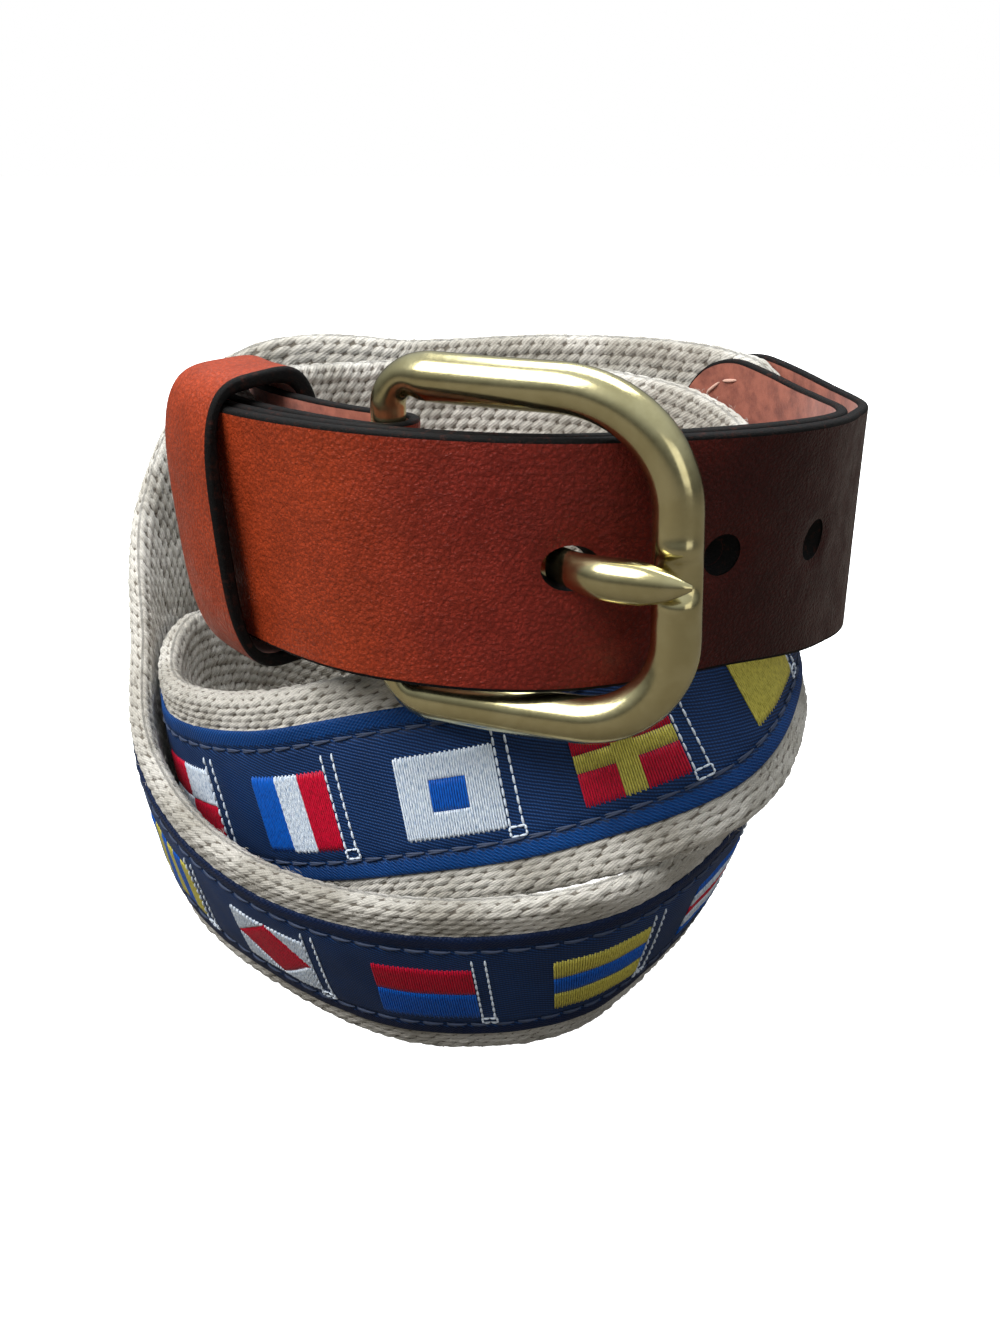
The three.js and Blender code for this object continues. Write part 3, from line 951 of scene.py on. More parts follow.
def yarn_relief_tree() -> bpy.types.NodeTree:
    """Raises rounded yarns on a strap, from lattice coordinates kept on its points.

    Returns:
        The tree, with inputs Height, Spread, Unevenness and Material.
    """
    tree, sockets, bench = geometry_tree("yarn_relief", {
        "Height": "NodeSocketFloat", "Spread": "NodeSocketFloat",
        "Unevenness": "NodeSocketFloat", "Material": "NodeSocketMaterial",
    })
    kind = {"data_type": "FLOAT_VECTOR"}
    lattice = bench.node("GeometryNodeInputNamedAttribute", kind, Name="lattice").outputs[0]
    outward = bench.node("GeometryNodeInputNamedAttribute", kind, Name="outward").outputs[0]
    share = bench.node("ShaderNodeSeparateXYZ", Vector=lattice).outputs[2]
    cells = bench.node("ShaderNodeTexVoronoi", {"voronoi_dimensions": "2D", "feature": "F1"},
                       Vector=lattice, Scale=1.0, Randomness=sockets["Unevenness"])
    dome = bench.dome(cells.outputs["Distance"], sockets["Spread"])
    chance = bench.node("ShaderNodeSeparateXYZ", Vector=cells.outputs["Color"]).outputs[0]
    fullness = bench.plus(0.78, bench.times(chance, 0.3))
    rise = bench.times(bench.times(dome, fullness), share)
    lift = bench.times(rise, sockets["Height"])
    push = bench.node("ShaderNodeVectorMath", {"operation": "SCALE"}, Vector=outward)
    bench.feed(push.inputs["Scale"], lift)
    moved = bench.node("GeometryNodeSetPosition", Geometry=sockets["Geometry"], Offset=push.outputs[0])
    kept = bench.node("GeometryNodeStoreNamedAttribute", {"data_type": "FLOAT", "domain": "POINT"},
                      Geometry=moved.outputs[0], Name="relief", Value=dome)
    close_tree(bench, kept.outputs[0], sockets["Material"])
    return tree


def thread_tree() -> bpy.types.NodeTree:
    """Puts one bent thread, thinner at both ends, on each point.

    Returns:
        The tree, with inputs Thickness, Dip and Material. Points hold along, outward and span.
    """
    tree, sockets, bench = geometry_tree("thread_pieces", {
        "Thickness": "NodeSocketFloat", "Dip": "NodeSocketFloat", "Material": "NodeSocketMaterial",
    })
    line = bench.node("GeometryNodeCurvePrimitiveLine", Start=(-0.5, 0, 0), End=(0.5, 0, 0))
    steps = bench.node("GeometryNodeResampleCurve", Curve=line.outputs[0], Count=6)
    position = bench.tree.nodes.new("GeometryNodeInputPosition").outputs[0]
    spot = bench.node("ShaderNodeSeparateXYZ", Vector=position)
    reach = bench.times(spot.outputs[0], 2.0)
    square = bench.times(reach, reach)
    sink = bench.node("ShaderNodeCombineXYZ")
    bench.feed(sink.inputs[2], bench.times(square, bench.times(sockets["Dip"], -1.0)))
    bent = bench.node("GeometryNodeSetPosition", Geometry=steps.outputs[0], Offset=sink.outputs[0])
    thin = bench.math("SQRT", bench.math("SUBTRACT", 1.02, bench.times(square, 0.8)))
    profile = bench.node("GeometryNodeCurvePrimitiveCircle", Resolution=6)
    bench.feed(profile.inputs["Radius"], bench.times(sockets["Thickness"], 0.5))
    body = bench.node("GeometryNodeCurveToMesh", Curve=bent.outputs[0], Profile_Curve=profile.outputs[0],
                      Scale=thin, Fill_Caps=True)
    kind = {"data_type": "FLOAT_VECTOR"}
    along = bench.node("GeometryNodeInputNamedAttribute", kind, Name="along").outputs[0]
    outward = bench.node("GeometryNodeInputNamedAttribute", kind, Name="outward").outputs[0]
    span = bench.node("GeometryNodeInputNamedAttribute", {"data_type": "FLOAT"}, Name="span").outputs[0]
    turn = bench.node("FunctionNodeAxesToRotation", {"primary_axis": "X", "secondary_axis": "Z"},
                      Primary_Axis=along, Secondary_Axis=outward)
    size = bench.node("ShaderNodeCombineXYZ", X=span, Y=1.0, Z=1.0)
    placed = bench.node("GeometryNodeInstanceOnPoints", Points=sockets["Geometry"], Instance=body.outputs[0],
                        Rotation=turn.outputs[0], Scale=size.outputs[0])
    close_tree(bench, placed.outputs[0], sockets["Material"])
    return tree


@dataclass
class ThreadField:
    """Many short threads of one kind, such as stitches or loose fibres."""

    name: str
    thickness: float
    dip: float
    centres: list[np.ndarray] = field(default_factory=list)
    along: list[np.ndarray] = field(default_factory=list)
    outward: list[np.ndarray] = field(default_factory=list)
    spans: list[np.ndarray] = field(default_factory=list)

    def add(self, centres: np.ndarray, along: np.ndarray, outward: np.ndarray, spans: np.ndarray) -> None:
        """Adds threads: middles, directions and faces as (count, 3), lengths in metres as (count)."""
        self.centres.append(centres)
        self.along.append(along)
        self.outward.append(outward)
        self.spans.append(np.broadcast_to(spans, (len(centres),)))

    def add_between(self, starts: np.ndarray, ends: np.ndarray, outward: np.ndarray) -> None:
        """Adds threads that run from one point to another."""
        run = ends - starts
        spans = np.linalg.norm(run, axis=1)
        self.add((starts + ends) / 2, run / spans[:, None], outward, spans)

    def build(self, material: bpy.types.Material) -> bpy.types.Object:
        """Makes the threads as one plain mesh."""
        mesh = bpy.data.meshes.new(self.name)
        centres = np.vstack(self.centres)
        mesh.from_pydata(centres.tolist(), [], [])
        for key, values in (("along", self.along), ("outward", self.outward)):
            attribute = mesh.attributes.new(key, "FLOAT_VECTOR", "POINT")
            attribute.data.foreach_set("vector", np.vstack(values).astype(np.float32).ravel())
        span = mesh.attributes.new("span", "FLOAT", "POINT")
        span.data.foreach_set("value", np.concatenate(self.spans).astype(np.float32))
        piece = bpy.data.objects.new(self.name, mesh)
        bpy.context.scene.collection.objects.link(piece)
        tree = bpy.data.node_groups.get("thread_pieces") or thread_tree()
        return apply_tree(piece, tree, {
            "Thickness": self.thickness * MM, "Dip": self.dip * MM, "Material": material,
        })


@dataclass
class WebbingStrap:
    """The cotton web, with every yarn raised, in lengths that meet end to end."""

    path: CoiledPath
    lengths: int = 4
    edge_radius: float = 1.45
    along_step: float = 0.36
    relief: float = 0.5
    yarn_length: float = 2.1
    yarn_row: float = 0.98
    inner_length: float = 1.75
    inner_row: float = 1.55
    yarn_lean: float = 0.55
    inner_lean: float = 0.5
    tucked: float = 0.78
    tuck_start: float = 2.0
    tuck_end: float = 2.4
    tab_tuck: float = 32.7
    tab_fade: float = 0.4

    def outline(self) -> tuple[np.ndarray, ...]:
        """Gives the cross-section.

        Returns:
            Across, outward, the outline's own normal (two arrays), distance round it, and relief share.
        """
        half, face = SIZE.half_width - self.relief * 0.6, SIZE.web_half - self.relief * 0.6
        covered = SIZE.ribbon_half_width - 0.5
        flat = half - self.edge_radius
        rows: list[tuple[float, float, float, float, float]] = []
        hidden = [(w, face, 0.0, 1.0, 0.0) for w in (-covered + 1.0, 0.0, covered - 1.0)]
        strip = [(w, face, 0.0, 1.0, 1.0) for w in np.arange(covered, flat, 0.27)]
        corner = []
        for angle in np.linspace(90, -90, 15)[:-1]:
            c, s = math.cos(math.radians(angle)), math.sin(math.radians(angle))
            corner.append((flat + c * self.edge_radius, s * face, c, s, 1.0))
        inner = [(w, -face, 0.0, -1.0, 1.0) for w in np.linspace(flat, -flat, 76)[:-1]]
        rows += hidden[1:] + strip + corner + inner
        rows += [(-w, -n, -nw, -nn, share) for w, n, nw, nn, share in corner]
        rows += [(-w, n, nw, nn, share) for w, n, nw, nn, share in reversed(strip)] + hidden[:1]
        table = np.array(rows)
        steps = np.hypot(np.diff(table[:, 0]), np.diff(table[:, 1]))
        distance = np.concatenate([[0.0], np.cumsum(steps)])
        return table[:, 0], table[:, 1], table[:, 2], table[:, 3], distance, table[:, 4]

    def lattice(self, lengths: np.ndarray, distance: np.ndarray, inner: np.ndarray,
                share: np.ndarray) -> np.ndarray:
        """Gives the yarns' lattice coordinates, a whole number apart from yarn to yarn.

        Args:
            lengths: Millimetres along, one for each row.
            distance: Millimetres round the outline, one for each column.
            inner: Share of the inner face's pattern, 0 or 1, for each column.
            share: How much of the relief shows, for each column.
        Returns:
            An array (rows, columns, 3): along, across and the share.
        """
        u, q = np.broadcast_arrays(lengths[:, None], distance[None, :])
        outer_row = q / self.yarn_row
        outer_spot = u / self.yarn_length + outer_row * self.yarn_lean
        inner_row = q / self.inner_row
        inner_spot = u / self.inner_length + inner_row * self.inner_lean + 0.5
        x = np.where(inner > 0.5, inner_spot, outer_spot)
        y = np.where(inner > 0.5, inner_row, outer_row)
        return np.stack([x, y, np.broadcast_to(share, x.shape)], -1)

    def build(self, finish: bpy.types.Material) -> list[bpy.types.Object]:
        """Makes the lengths of web."""
        w, n, normal_w, normal_n, distance, share = self.outline()
        inner = (n < -SIZE.web_half * 0.2).astype(float)
        low, high = self.path.length_at(PLACE.web_start), self.path.length_at(PLACE.web_end)
        cuts = np.linspace(low, high, self.lengths + 1)
        pieces = []
        for number, (start, end) in enumerate(zip(cuts[:-1], cuts[1:]), 1):
            lengths = np.linspace(start, end, round((end - start) / self.along_step) + 1)
            stations = self.path.station_at(lengths)[:, None]
            tuck = np.clip((stations - self.tuck_start) / (self.tuck_end - self.tuck_start), 0, 1)
            tuck = tuck * np.clip((self.tab_tuck - stations) / self.tab_fade, 0, 1)
            width = self.tucked + (1 - self.tucked) * tuck
            points = self.path.points(stations, w[None, :] * width, n[None, :])
            _, _, across, outward = self.path.frames(stations)
            normals = across * normal_w[None, :, None] + outward * normal_n[None, :, None]
            ring = np.append(distance, distance[-1] + 10.0)
            uv = np.stack(np.broadcast_arrays(lengths[:, None], ring[None, :]), -1)
            builder = MeshBuilder(f"webbing_{number}")
            builder.add_sheet(points, uv, ring=True, outward=normals,
                              lattice=self.lattice(lengths, distance, inner, share))
            piece = builder.build([finish])
            tree = bpy.data.node_groups.get("yarn_relief") or yarn_relief_tree()
            apply_tree(piece, tree, {
                "Height": self.relief * MM, "Spread": YARN_SPREAD,
                "Unevenness": YARN_RANDOMNESS, "Material": finish,
            })
            pieces.append(piece)
        return pieces


@dataclass
class FlagRibbon:
    """The navy ribbon, dimpled along its two rows of stitching and full between them."""

    path: CoiledPath
    along_step: float = 0.42
    seam: float = 8.35
    stitch: float = 3.2
    puff: float = 0.22
    dimple: float = 0.3

    def height(self, lengths: np.ndarray, w: np.ndarray) -> np.ndarray:
        """Gives the upper face's height.

        Args:
            lengths: Millimetres along.
            w: Millimetres across.
        Returns:
            Millimetres outward from the strap's middle.
        """
        middle = np.clip(1 - (w / self.seam) ** 4, 0, 1)
        side = np.abs(np.abs(w) - self.seam)
        valley = np.exp(-((side / 0.55) ** 2))
        needle = np.exp(-(((lengths / self.stitch + 0.5) % 1 - 0.5) * self.stitch / 0.5) ** 2)
        ripple = 0.04 * np.sin(lengths * 0.41 + w * 0.3) + 0.03 * np.sin(lengths * 0.93 - w * 0.5)
        sunk = valley * self.dimple * (0.45 + 0.55 * needle)
        return SIZE.ribbon_high + self.puff * middle + ripple - sunk

    def build(self, finish: bpy.types.Material) -> bpy.types.Object:
        """Makes the ribbon."""
        half = SIZE.ribbon_half_width
        near = np.linspace(self.seam - 1.2, self.seam + 1.2, 11)
        wide = np.linspace(0, self.seam - 1.8, 7)
        side = np.concatenate([wide, near, [half - 0.9, half - 0.4, half - 0.12, half]])
        across = np.concatenate([-side[::-1], side[1:]])
        lengths = self.path.length_at(self.path.every(PLACE.ribbon_start, PLACE.ribbon_end, self.along_step))
        stations = self.path.station_at(lengths)[:, None]
        upper = self.height(lengths[:, None], across[None, :])
        fall = np.clip((half - np.abs(across)) / 0.5, 0, 1)
        upper = SIZE.ribbon_low + 0.12 + (upper - SIZE.ribbon_low - 0.12) * np.sqrt(fall)[None, :]
        under = across[::-1][::6]
        w = np.concatenate([across, under])
        n = np.hstack([upper, np.full((len(lengths), len(under)), SIZE.ribbon_low)])
        points = self.path.points(stations, w[None, :], n)
        uv = np.stack(np.broadcast_arrays(lengths[:, None], np.append(w, w[0])[None, :]), -1)
        builder = MeshBuilder("signal_ribbon")
        builder.add_sheet(points, uv, ring=True)
        return builder.build([finish])


W, R, B, Y, K = (c for c in ThreadColour)


def quarters(x: float, y: float, *colours: ThreadColour) -> ThreadColour:
    """Gives one of four quarters: upper hoist, upper fly, lower hoist, lower fly."""
    return colours[(0 if y >= 0.5 else 2) + (0 if x < 0.5 else 1)]


def stripes(place: float, *colours: ThreadColour) -> ThreadColour:
    """Gives the stripe at a place from 0 to 1."""
    return colours[min(int(place * len(colours)), len(colours) - 1)]


def saltire(x: float, y: float, arm: float) -> bool:
    """Tells whether a point lies on a diagonal cross."""
    return min(abs(x - y), abs(x + y - 1)) < arm


def from_middle(x: float, y: float) -> float:
    """Gives how far a point lies from the middle, so that equal values make a square."""
    return max(abs(x - 0.5), abs(y - 0.5))


def four_triangles(x: float, y: float) -> ThreadColour:
    """Gives the flag of four triangles: yellow, blue, red and black."""
    if y > x and y > 1 - x:
        return Y
    if y > x:
        return K
    return B if y > 1 - x else R


# International signal flags: x runs from the hoist to the fly, y from the bottom to the top.
SIGNALS: tuple[Callable[[float, float], ThreadColour], ...] = (
    lambda x, y: W if x < 0.5 else B,
    lambda x, y: R,
    lambda x, y: stripes(y, B, W, R, W, B),
    lambda x, y: stripes(y, Y, B, Y),
    lambda x, y: B if y >= 0.5 else R,
    lambda x, y: R if abs(x - 0.5) + abs(y - 0.5) < 0.5 else W,
    lambda x, y: stripes(x, Y, B, Y, B, Y, B),
    lambda x, y: W if x < 0.5 else R,
    lambda x, y: K if math.hypot(x - 0.5, y - 0.5) < 0.25 else Y,
    lambda x, y: stripes(y, B, W, B),
    lambda x, y: Y if x < 0.5 else B,
    lambda x, y: quarters(x, y, Y, K, K, Y),
    lambda x, y: W if saltire(x, y, 0.13) else B,
    lambda x, y: W if (int(x * 4) + int(y * 4)) % 2 else B,
    lambda x, y: R if x > 1 - y else Y,
    lambda x, y: W if from_middle(x, y) < 0.18 else B,
    lambda x, y: Y,
    lambda x, y: Y if min(abs(x - 0.5), abs(y - 0.5)) < 0.1 else R,
    lambda x, y: B if from_middle(x, y) < 0.19 else W,
    lambda x, y: stripes(x, R, W, B),
    lambda x, y: quarters(x, y, R, W, W, R),
    lambda x, y: R if saltire(x, y, 0.13) else W,
    lambda x, y: R if from_middle(x, y) < 0.17 else (W if from_middle(x, y) < 0.33 else B),
    lambda x, y: B if min(abs(x - 0.5), abs(y - 0.5)) < 0.1 else W,
    lambda x, y: Y if int((x + y) * 5) % 2 else R,
    four_triangles,
)


@dataclass
class EmbroideredFlags:
    """The signal flags: rows of threads that stand on the ribbon, with their hoist ropes."""

    path: CoiledPath
    ribbon: FlagRibbon
    first_letter: int = 18
    first_station: float = 11.19
    same_turn_flags: int = 12
    second_station: float = 23.54
    hoist_lead: float = 2.1
    flag_length: float = 13.0
    flag_half: float = 5.6
    flag_middle: float = -1.05
    thread: float = 0.32
    thread_height: float = 0.24
    sample: float = 0.26
    hoist_gap: float = 1.9
    hoist_top: float = 6.75
    hoist_bottom: float = -6.7

    def letters(self) -> list[tuple[int, float]]:
        """Gives each flag's number in SIGNALS and the length in millimetres where its hoist stands."""
        anchor = float(self.path.length_at(self.first_station))
        pitch = (float(self.path.length_at(self.second_station)) - anchor) / self.same_turn_flags
        anchor += self.hoist_lead
        low = float(self.path.length_at(PLACE.ribbon_start)) + 4.0
        high = float(self.path.length_at(PLACE.ribbon_end)) - self.flag_length - 3.0
        first = math.ceil((low - anchor) / pitch)
        last = math.floor((high - anchor) / pitch)
        return [((self.first_letter + k) % 26, anchor + k * pitch) for k in range(first, last + 1)]

    def add_run(self, builder: MeshBuilder, length: float, low: float, high: float,
                colour: ThreadColour, rng: np.random.Generator) -> None:
        """Adds one thread that runs across the ribbon.

        Args:
            builder: The mesh that takes it.
            length: Millimetres along, at the thread's middle.
            low: Where it starts across the ribbon.
            high: Where it ends.
            colour: Its colour.
            rng: Random numbers for its floats.
        """
        white = colour is ThreadColour.WHITE
        step = self.sample if white else 0.9
        count = max(3, round((high - low) / step))
        v = np.linspace(low, high, count + 1)
        end = np.minimum(v - low, high - v)
        rise = np.sqrt(np.clip(end / 0.3, 0, 1))
        if white:
            floats = np.abs(np.sin(math.pi * (v / 0.92 + rng.random())))
            rise = rise * (0.42 + 0.5 * np.sqrt(floats) + 0.16 * rng.random())
        else:
            rise = rise * (0.72 + 0.06 * rng.random(count + 1))
        half = self.thread * 0.54
        profile = np.array([(-half, -0.05), (-half * 0.45, 1.0), (half * 0.45, 1.0), (half, -0.05)])
        base = self.ribbon.height(np.full_like(v, length), v)
        w = np.broadcast_to(v[:, None], (len(v), 4))
        lengths = length + profile[None, :, 0] + np.zeros((len(v), 1))
        top = np.where(profile[None, :, 1] > 0, rise[:, None] * self.thread_height, -0.05)
        stations = self.path.station_at(lengths)
        points = self.path.points(stations, w, base[:, None] + top)
        uv = np.stack([lengths, w], -1)[:, [0, 1, 2, 3, 0]]
        builder.add_sheet(points, uv, colour.value, ring=True)

    def add_flag(self, builder: MeshBuilder, letter: int, hoist: float, rng: np.random.Generator) -> None:
        """Adds one flag's threads.

        Args:
            builder: The mesh that takes them.
            letter: The flag's number in SIGNALS.
            hoist: Millimetres along the strap where the flag starts.
            rng: Random numbers for its uneven ends.
        """
        count = round(self.flag_length / self.thread)
        fine = self.flag_middle + np.linspace(-self.flag_half, self.flag_half, 91)
        for k in range(count):
            x = (k + 0.5) / count
            length = hoist + self.flag_length * x
            colours = [SIGNALS[letter](x, y) for y in np.linspace(1, 0, len(fine))]
            start = 0
            tooth = 0.13 if k % 2 else -0.05
            for j in range(1, len(fine) + 1):
                if j < len(fine) and colours[j] is colours[start]:
                    continue
                low = fine[start] - (tooth if start == 0 else 0.08) - 0.05 * rng.random()
                high = fine[min(j, len(fine) - 1)] + (tooth if j == len(fine) else 0.04)
                self.add_run(builder, length, low, high, colours[start], rng)
                start = j

    def add_hoist(self, ropes: ThreadField, hoist: float) -> None:
        """Adds the two chain-stitched ropes and the small loop below them.

        Args:
            ropes: The threads that take them.
            hoist: Millimetres along the strap where the flag starts.
        """
        heights = np.linspace(self.hoist_bottom, self.hoist_top, 11)
        for offset in (-0.25, -self.hoist_gap):
            self.add_path(ropes, np.full(11, hoist + offset), heights, 0.86)
        left, right = hoist - 0.15, hoist - self.hoist_gap - 0.2
        low, high = self.hoist_bottom - 1.3, self.hoist_bottom
        square = np.array([(left, high), (left, (low + high) / 2), (left, low), ((left + right) / 2, low),
                           (right, low), (right, (low + high) / 2), (right, high),
                           ((left + right) / 2, high), (left, high)])
        self.add_path(ropes, square[:, 0], square[:, 1], 0.95)

    def add_path(self, ropes: ThreadField, lengths: np.ndarray, w: np.ndarray, share: float) -> None:
        """Adds a stitch between each pair of neighbouring places.

        Args:
            ropes: The threads that take them.
            lengths: Millimetres along.
            w: Millimetres across.
            share: How much of each gap the stitch fills.
        """
        points = self.path.points(self.path.station_at(lengths), w, self.ribbon.height(lengths, w) + 0.12)
        outward = self.path.frames(self.path.station_at(lengths))[3]
        middle = (points[:-1] + points[1:]) / 2
        reach = (points[1:] - points[:-1]) * share / 2
        ropes.add_between(middle - reach, middle + reach, outward[:-1])

    def build(self, finishes: list[bpy.types.Material]) -> list[bpy.types.Object]:
        """Makes the flags in two groups, and their hoist ropes."""
        rng = np.random.default_rng(SEED)
        flags = self.letters()
        middle = len(flags) // 2
        pieces = []
        ropes = ThreadField("hoist_ropes", 0.34, 0.1)
        for number, group in enumerate((flags[:middle], flags[middle:]), 1):
            builder = MeshBuilder(f"signal_flags_{number}")
            for letter, hoist in group:
                self.add_flag(builder, letter, hoist, rng)
                self.add_hoist(ropes, hoist)
            pieces.append(builder.build(finishes))
        pieces.append(ropes.build(finishes[ThreadColour.WHITE.value]))
        return pieces


@dataclass
class RibbonStitching:
    """The two rows of running stitches that hold the ribbon on the web."""

    path: CoiledPath
    ribbon: FlagRibbon
    thickness: float = 0.36
    hole_gap: float = 0.28
    strand_offset: float = 0.07
    strand_turn: float = 0.1
    lift: float = 0.16
    sink: float = 0.05

    def build(self, finish: bpy.types.Material) -> bpy.types.Object:
        """Makes the stitches."""
        stitches = ThreadField("ribbon_stitches", self.thickness, 0.16)
        low = float(self.path.length_at(PLACE.ribbon_start)) + 1.5
        high = float(self.path.length_at(PLACE.ribbon_end)) - 1.5
        pitch = self.ribbon.stitch
        holes = np.arange(math.ceil(low / pitch), math.floor(high / pitch)) * pitch
        for side in (-1, 1):
            for strand in (-1, 1):
                w = np.full_like(holes, side * self.ribbon.seam + strand * self.strand_offset)
                turn = self.strand_turn * strand
                start = holes + self.hole_gap
                end = holes + pitch - self.hole_gap
                height = SIZE.ribbon_high + self.lift - self.sink
                a = self.path.points(self.path.station_at(start), w - turn, height)
                b = self.path.points(self.path.station_at(end), w + turn, height)
                outward = self.path.frames(self.path.station_at((start + end) / 2))[3]
                stitches.add_between(a, b, outward)
        return stitches.build(finish)


def cut_holes(piece: bpy.types.Object, pegs: bpy.types.Object) -> None:
    """Cuts pegs out of a piece and keeps the result as its plain mesh.

    Args:
        piece: The object to cut.
        pegs: The object that is taken away; it is removed.
    """
    modifier = piece.modifiers.new("holes", "BOOLEAN")
    modifier.object = pegs
    modifier.operation = "DIFFERENCE"
    modifier.solver = "EXACT"
    keep_result(piece)
    bpy.data.objects.remove(pegs)
    piece.data.set_sharp_from_angle(angle=math.radians(LEATHER_SHARP_DEGREES))


@dataclass(frozen=True)
class Hole:
    """A punched hole: its station and half sizes, and how it narrows toward the flesh side."""

    station: float
    reach: float
    long: float
    tall: float
    back_share: float
    back_shift: float


@dataclass
class Billet:
    """The leather strap end: two plies that lap the web's end and run on as one strap."""

    path: CoiledPath
    step: float = 0.75
    tongue: float = 0.55
    joint_start: float = 33.45
    joint_end: float = 34.15
    half_thickness: float = 1.6
    edge_radius: float = 0.55
    dip: float = 0.3

    def half_at(self, stations: np.ndarray) -> np.ndarray:
        """Gives half the width, rounded off toward both ends."""
        mouth = np.clip((stations - PLACE.tab_start) / self.tongue, 0, 1)
        tip = np.clip((PLACE.billet_tip - stations) / self.tongue, 0, 1)
        share = np.minimum(np.sqrt(1 - (1 - mouth) ** 2), np.sqrt(1 - (1 - tip) ** 2))
        return SIZE.half_width * (0.1 + 0.9 * share)

    def faces_at(self, stations: np.ndarray) -> tuple[np.ndarray, np.ndarray]:
        """Gives the near and far height of the outer ply from the strap's middle."""
        t = np.clip((stations - self.joint_start) / (self.joint_end - self.joint_start), 0, 1)
        ease = t * t * (3 - 2 * t)
        near = SIZE.ply_low + (0.01 - SIZE.ply_low) * ease
        far = SIZE.ply_low + SIZE.ply + (self.half_thickness - SIZE.ply_low - SIZE.ply) * ease
        return near, far

    def dish(self, lengths: np.ndarray, w: np.ndarray) -> np.ndarray:
        """Gives how far the face dips round the holes, in millimetres."""
        dip = np.zeros(np.broadcast(lengths, w).shape)
        for hole in self.holes():
            away = np.hypot(lengths - self.path.length_at(hole.station), w)
            dip += self.dip * np.exp(-(np.clip(away - hole.reach, 0, None) ** 2))
        return dip

    def holes(self) -> list[Hole]:
        """Gives the hole in use, drawn wider by the prong, and the two free ones."""
        free = [Hole(PLACE.prong_hole - PLACE.hole_pitch * k, 2.8, 2.8, 2.8, 0.32, 1.7) for k in (1, 2)]
        return [Hole(PLACE.prong_hole, 3.6, 3.7, 2.9, 0.8, 0.6)] + free

    def pegs(self, finish: list[bpy.types.Material]) -> bpy.types.Object:
        """Makes the pegs that the holes are cut with."""
        builder = MeshBuilder("hole_pegs")
        angles = np.linspace(0, 2 * math.pi, 33)[:-1]
        for hole in self.holes():
            centre, along, across, outward = self.path.frames(np.array(hole.station))
            narrow, wide = (hole.back_share, hole.back_shift), (1.0, 0.0)
            rows = []
            for depth, (share, shift) in ((-6.0, narrow), (-1.0, narrow), (1.0, wide), (6.0, wide)):
                ring = centre + along * shift * MM + np.cos(angles)[:, None] * along * hole.long * share * MM
                ring = ring + np.sin(angles)[:, None] * across * hole.tall * share * MM
                rows.append(ring + outward * depth * MM)
            uv = np.zeros((4, len(angles) + 1, 2))
            # The hole walls take the black edge ink: partly the cut edge's ink, partly painted shade down
            # inside the holes.
            builder.add_sheet(np.stack(rows), uv, Zone.EDGE.value, ring=True)
        return builder.build(finish)

    def build(self, finishes: list[bpy.types.Material]) -> bpy.types.Object:
        """Makes the billet.

        Args:
            finishes: Face, edge and flesh-side materials.
        Returns:
            The billet.
        """
        builder = MeshBuilder("leather_billet")
        section = StripSection.rounded(44, 4, 2)
        bulk = self.path.every(PLACE.tab_start + 0.1, PLACE.billet_tip - 0.1, self.step)
        nose = np.array([0.0, 0.004, 0.012, 0.025, 0.045, 0.07])
        stations = np.concatenate([PLACE.tab_start + nose, bulk, PLACE.billet_tip - nose[::-1]])
        lengths = self.path.length_at(stations)
        near, far = self.faces_at(stations)
        for sign in (1, -1):
            low, high = (near, far) if sign > 0 else (-far, -near)
            w, n = section.place(self.half_at(stations), low, high, self.edge_radius)
            visible = (section.zone == (Zone.FACE if sign > 0 else Zone.INSIDE).value)[None, :]
            n = n - sign * np.where(visible, self.dish(lengths[:, None], w), 0)
            builder.add_sheet(self.path.points(stations[:, None], w, n), strip_uv(lengths, w, n),
                              section.zone, ring=True)
        piece = builder.build(finishes, LEATHER_SHARP_DEGREES)
        cut_holes(piece, self.pegs(finishes))
        return piece

    def seam(self, finish: bpy.types.Material) -> bpy.types.Object:
        """Makes the row of stitches round the tab, on both faces."""
        stitches = ThreadField("tab_stitches", 0.55, 0.2)
        start = float(self.path.length_at(PLACE.tab_start))
        arch = [math.radians(angle) for angle in np.linspace(-90, 90, 9)]
        reach = SIZE.half_width - 3.0
        rim = [(start + 3.2 + 9.0 * (1 - math.cos(a)), reach * math.sin(a)) for a in arch]
        lengths = np.array([spot[0] for spot in rim])
        w = np.array([spot[1] for spot in rim])
        for sign in (1, -1):
            n = sign * (SIZE.ply_low + SIZE.ply + 0.12)
            stations = self.path.station_at(lengths)
            points = self.path.points(stations, w, np.full_like(w, n))
            outward = self.path.frames(stations)[3] * sign
            middle = (points[:-1] + points[1:]) / 2
            half = (points[1:] - points[:-1]) * 0.4
            stitches.add_between(middle - half, middle + half, outward[:-1])
        return stitches.build(finish)


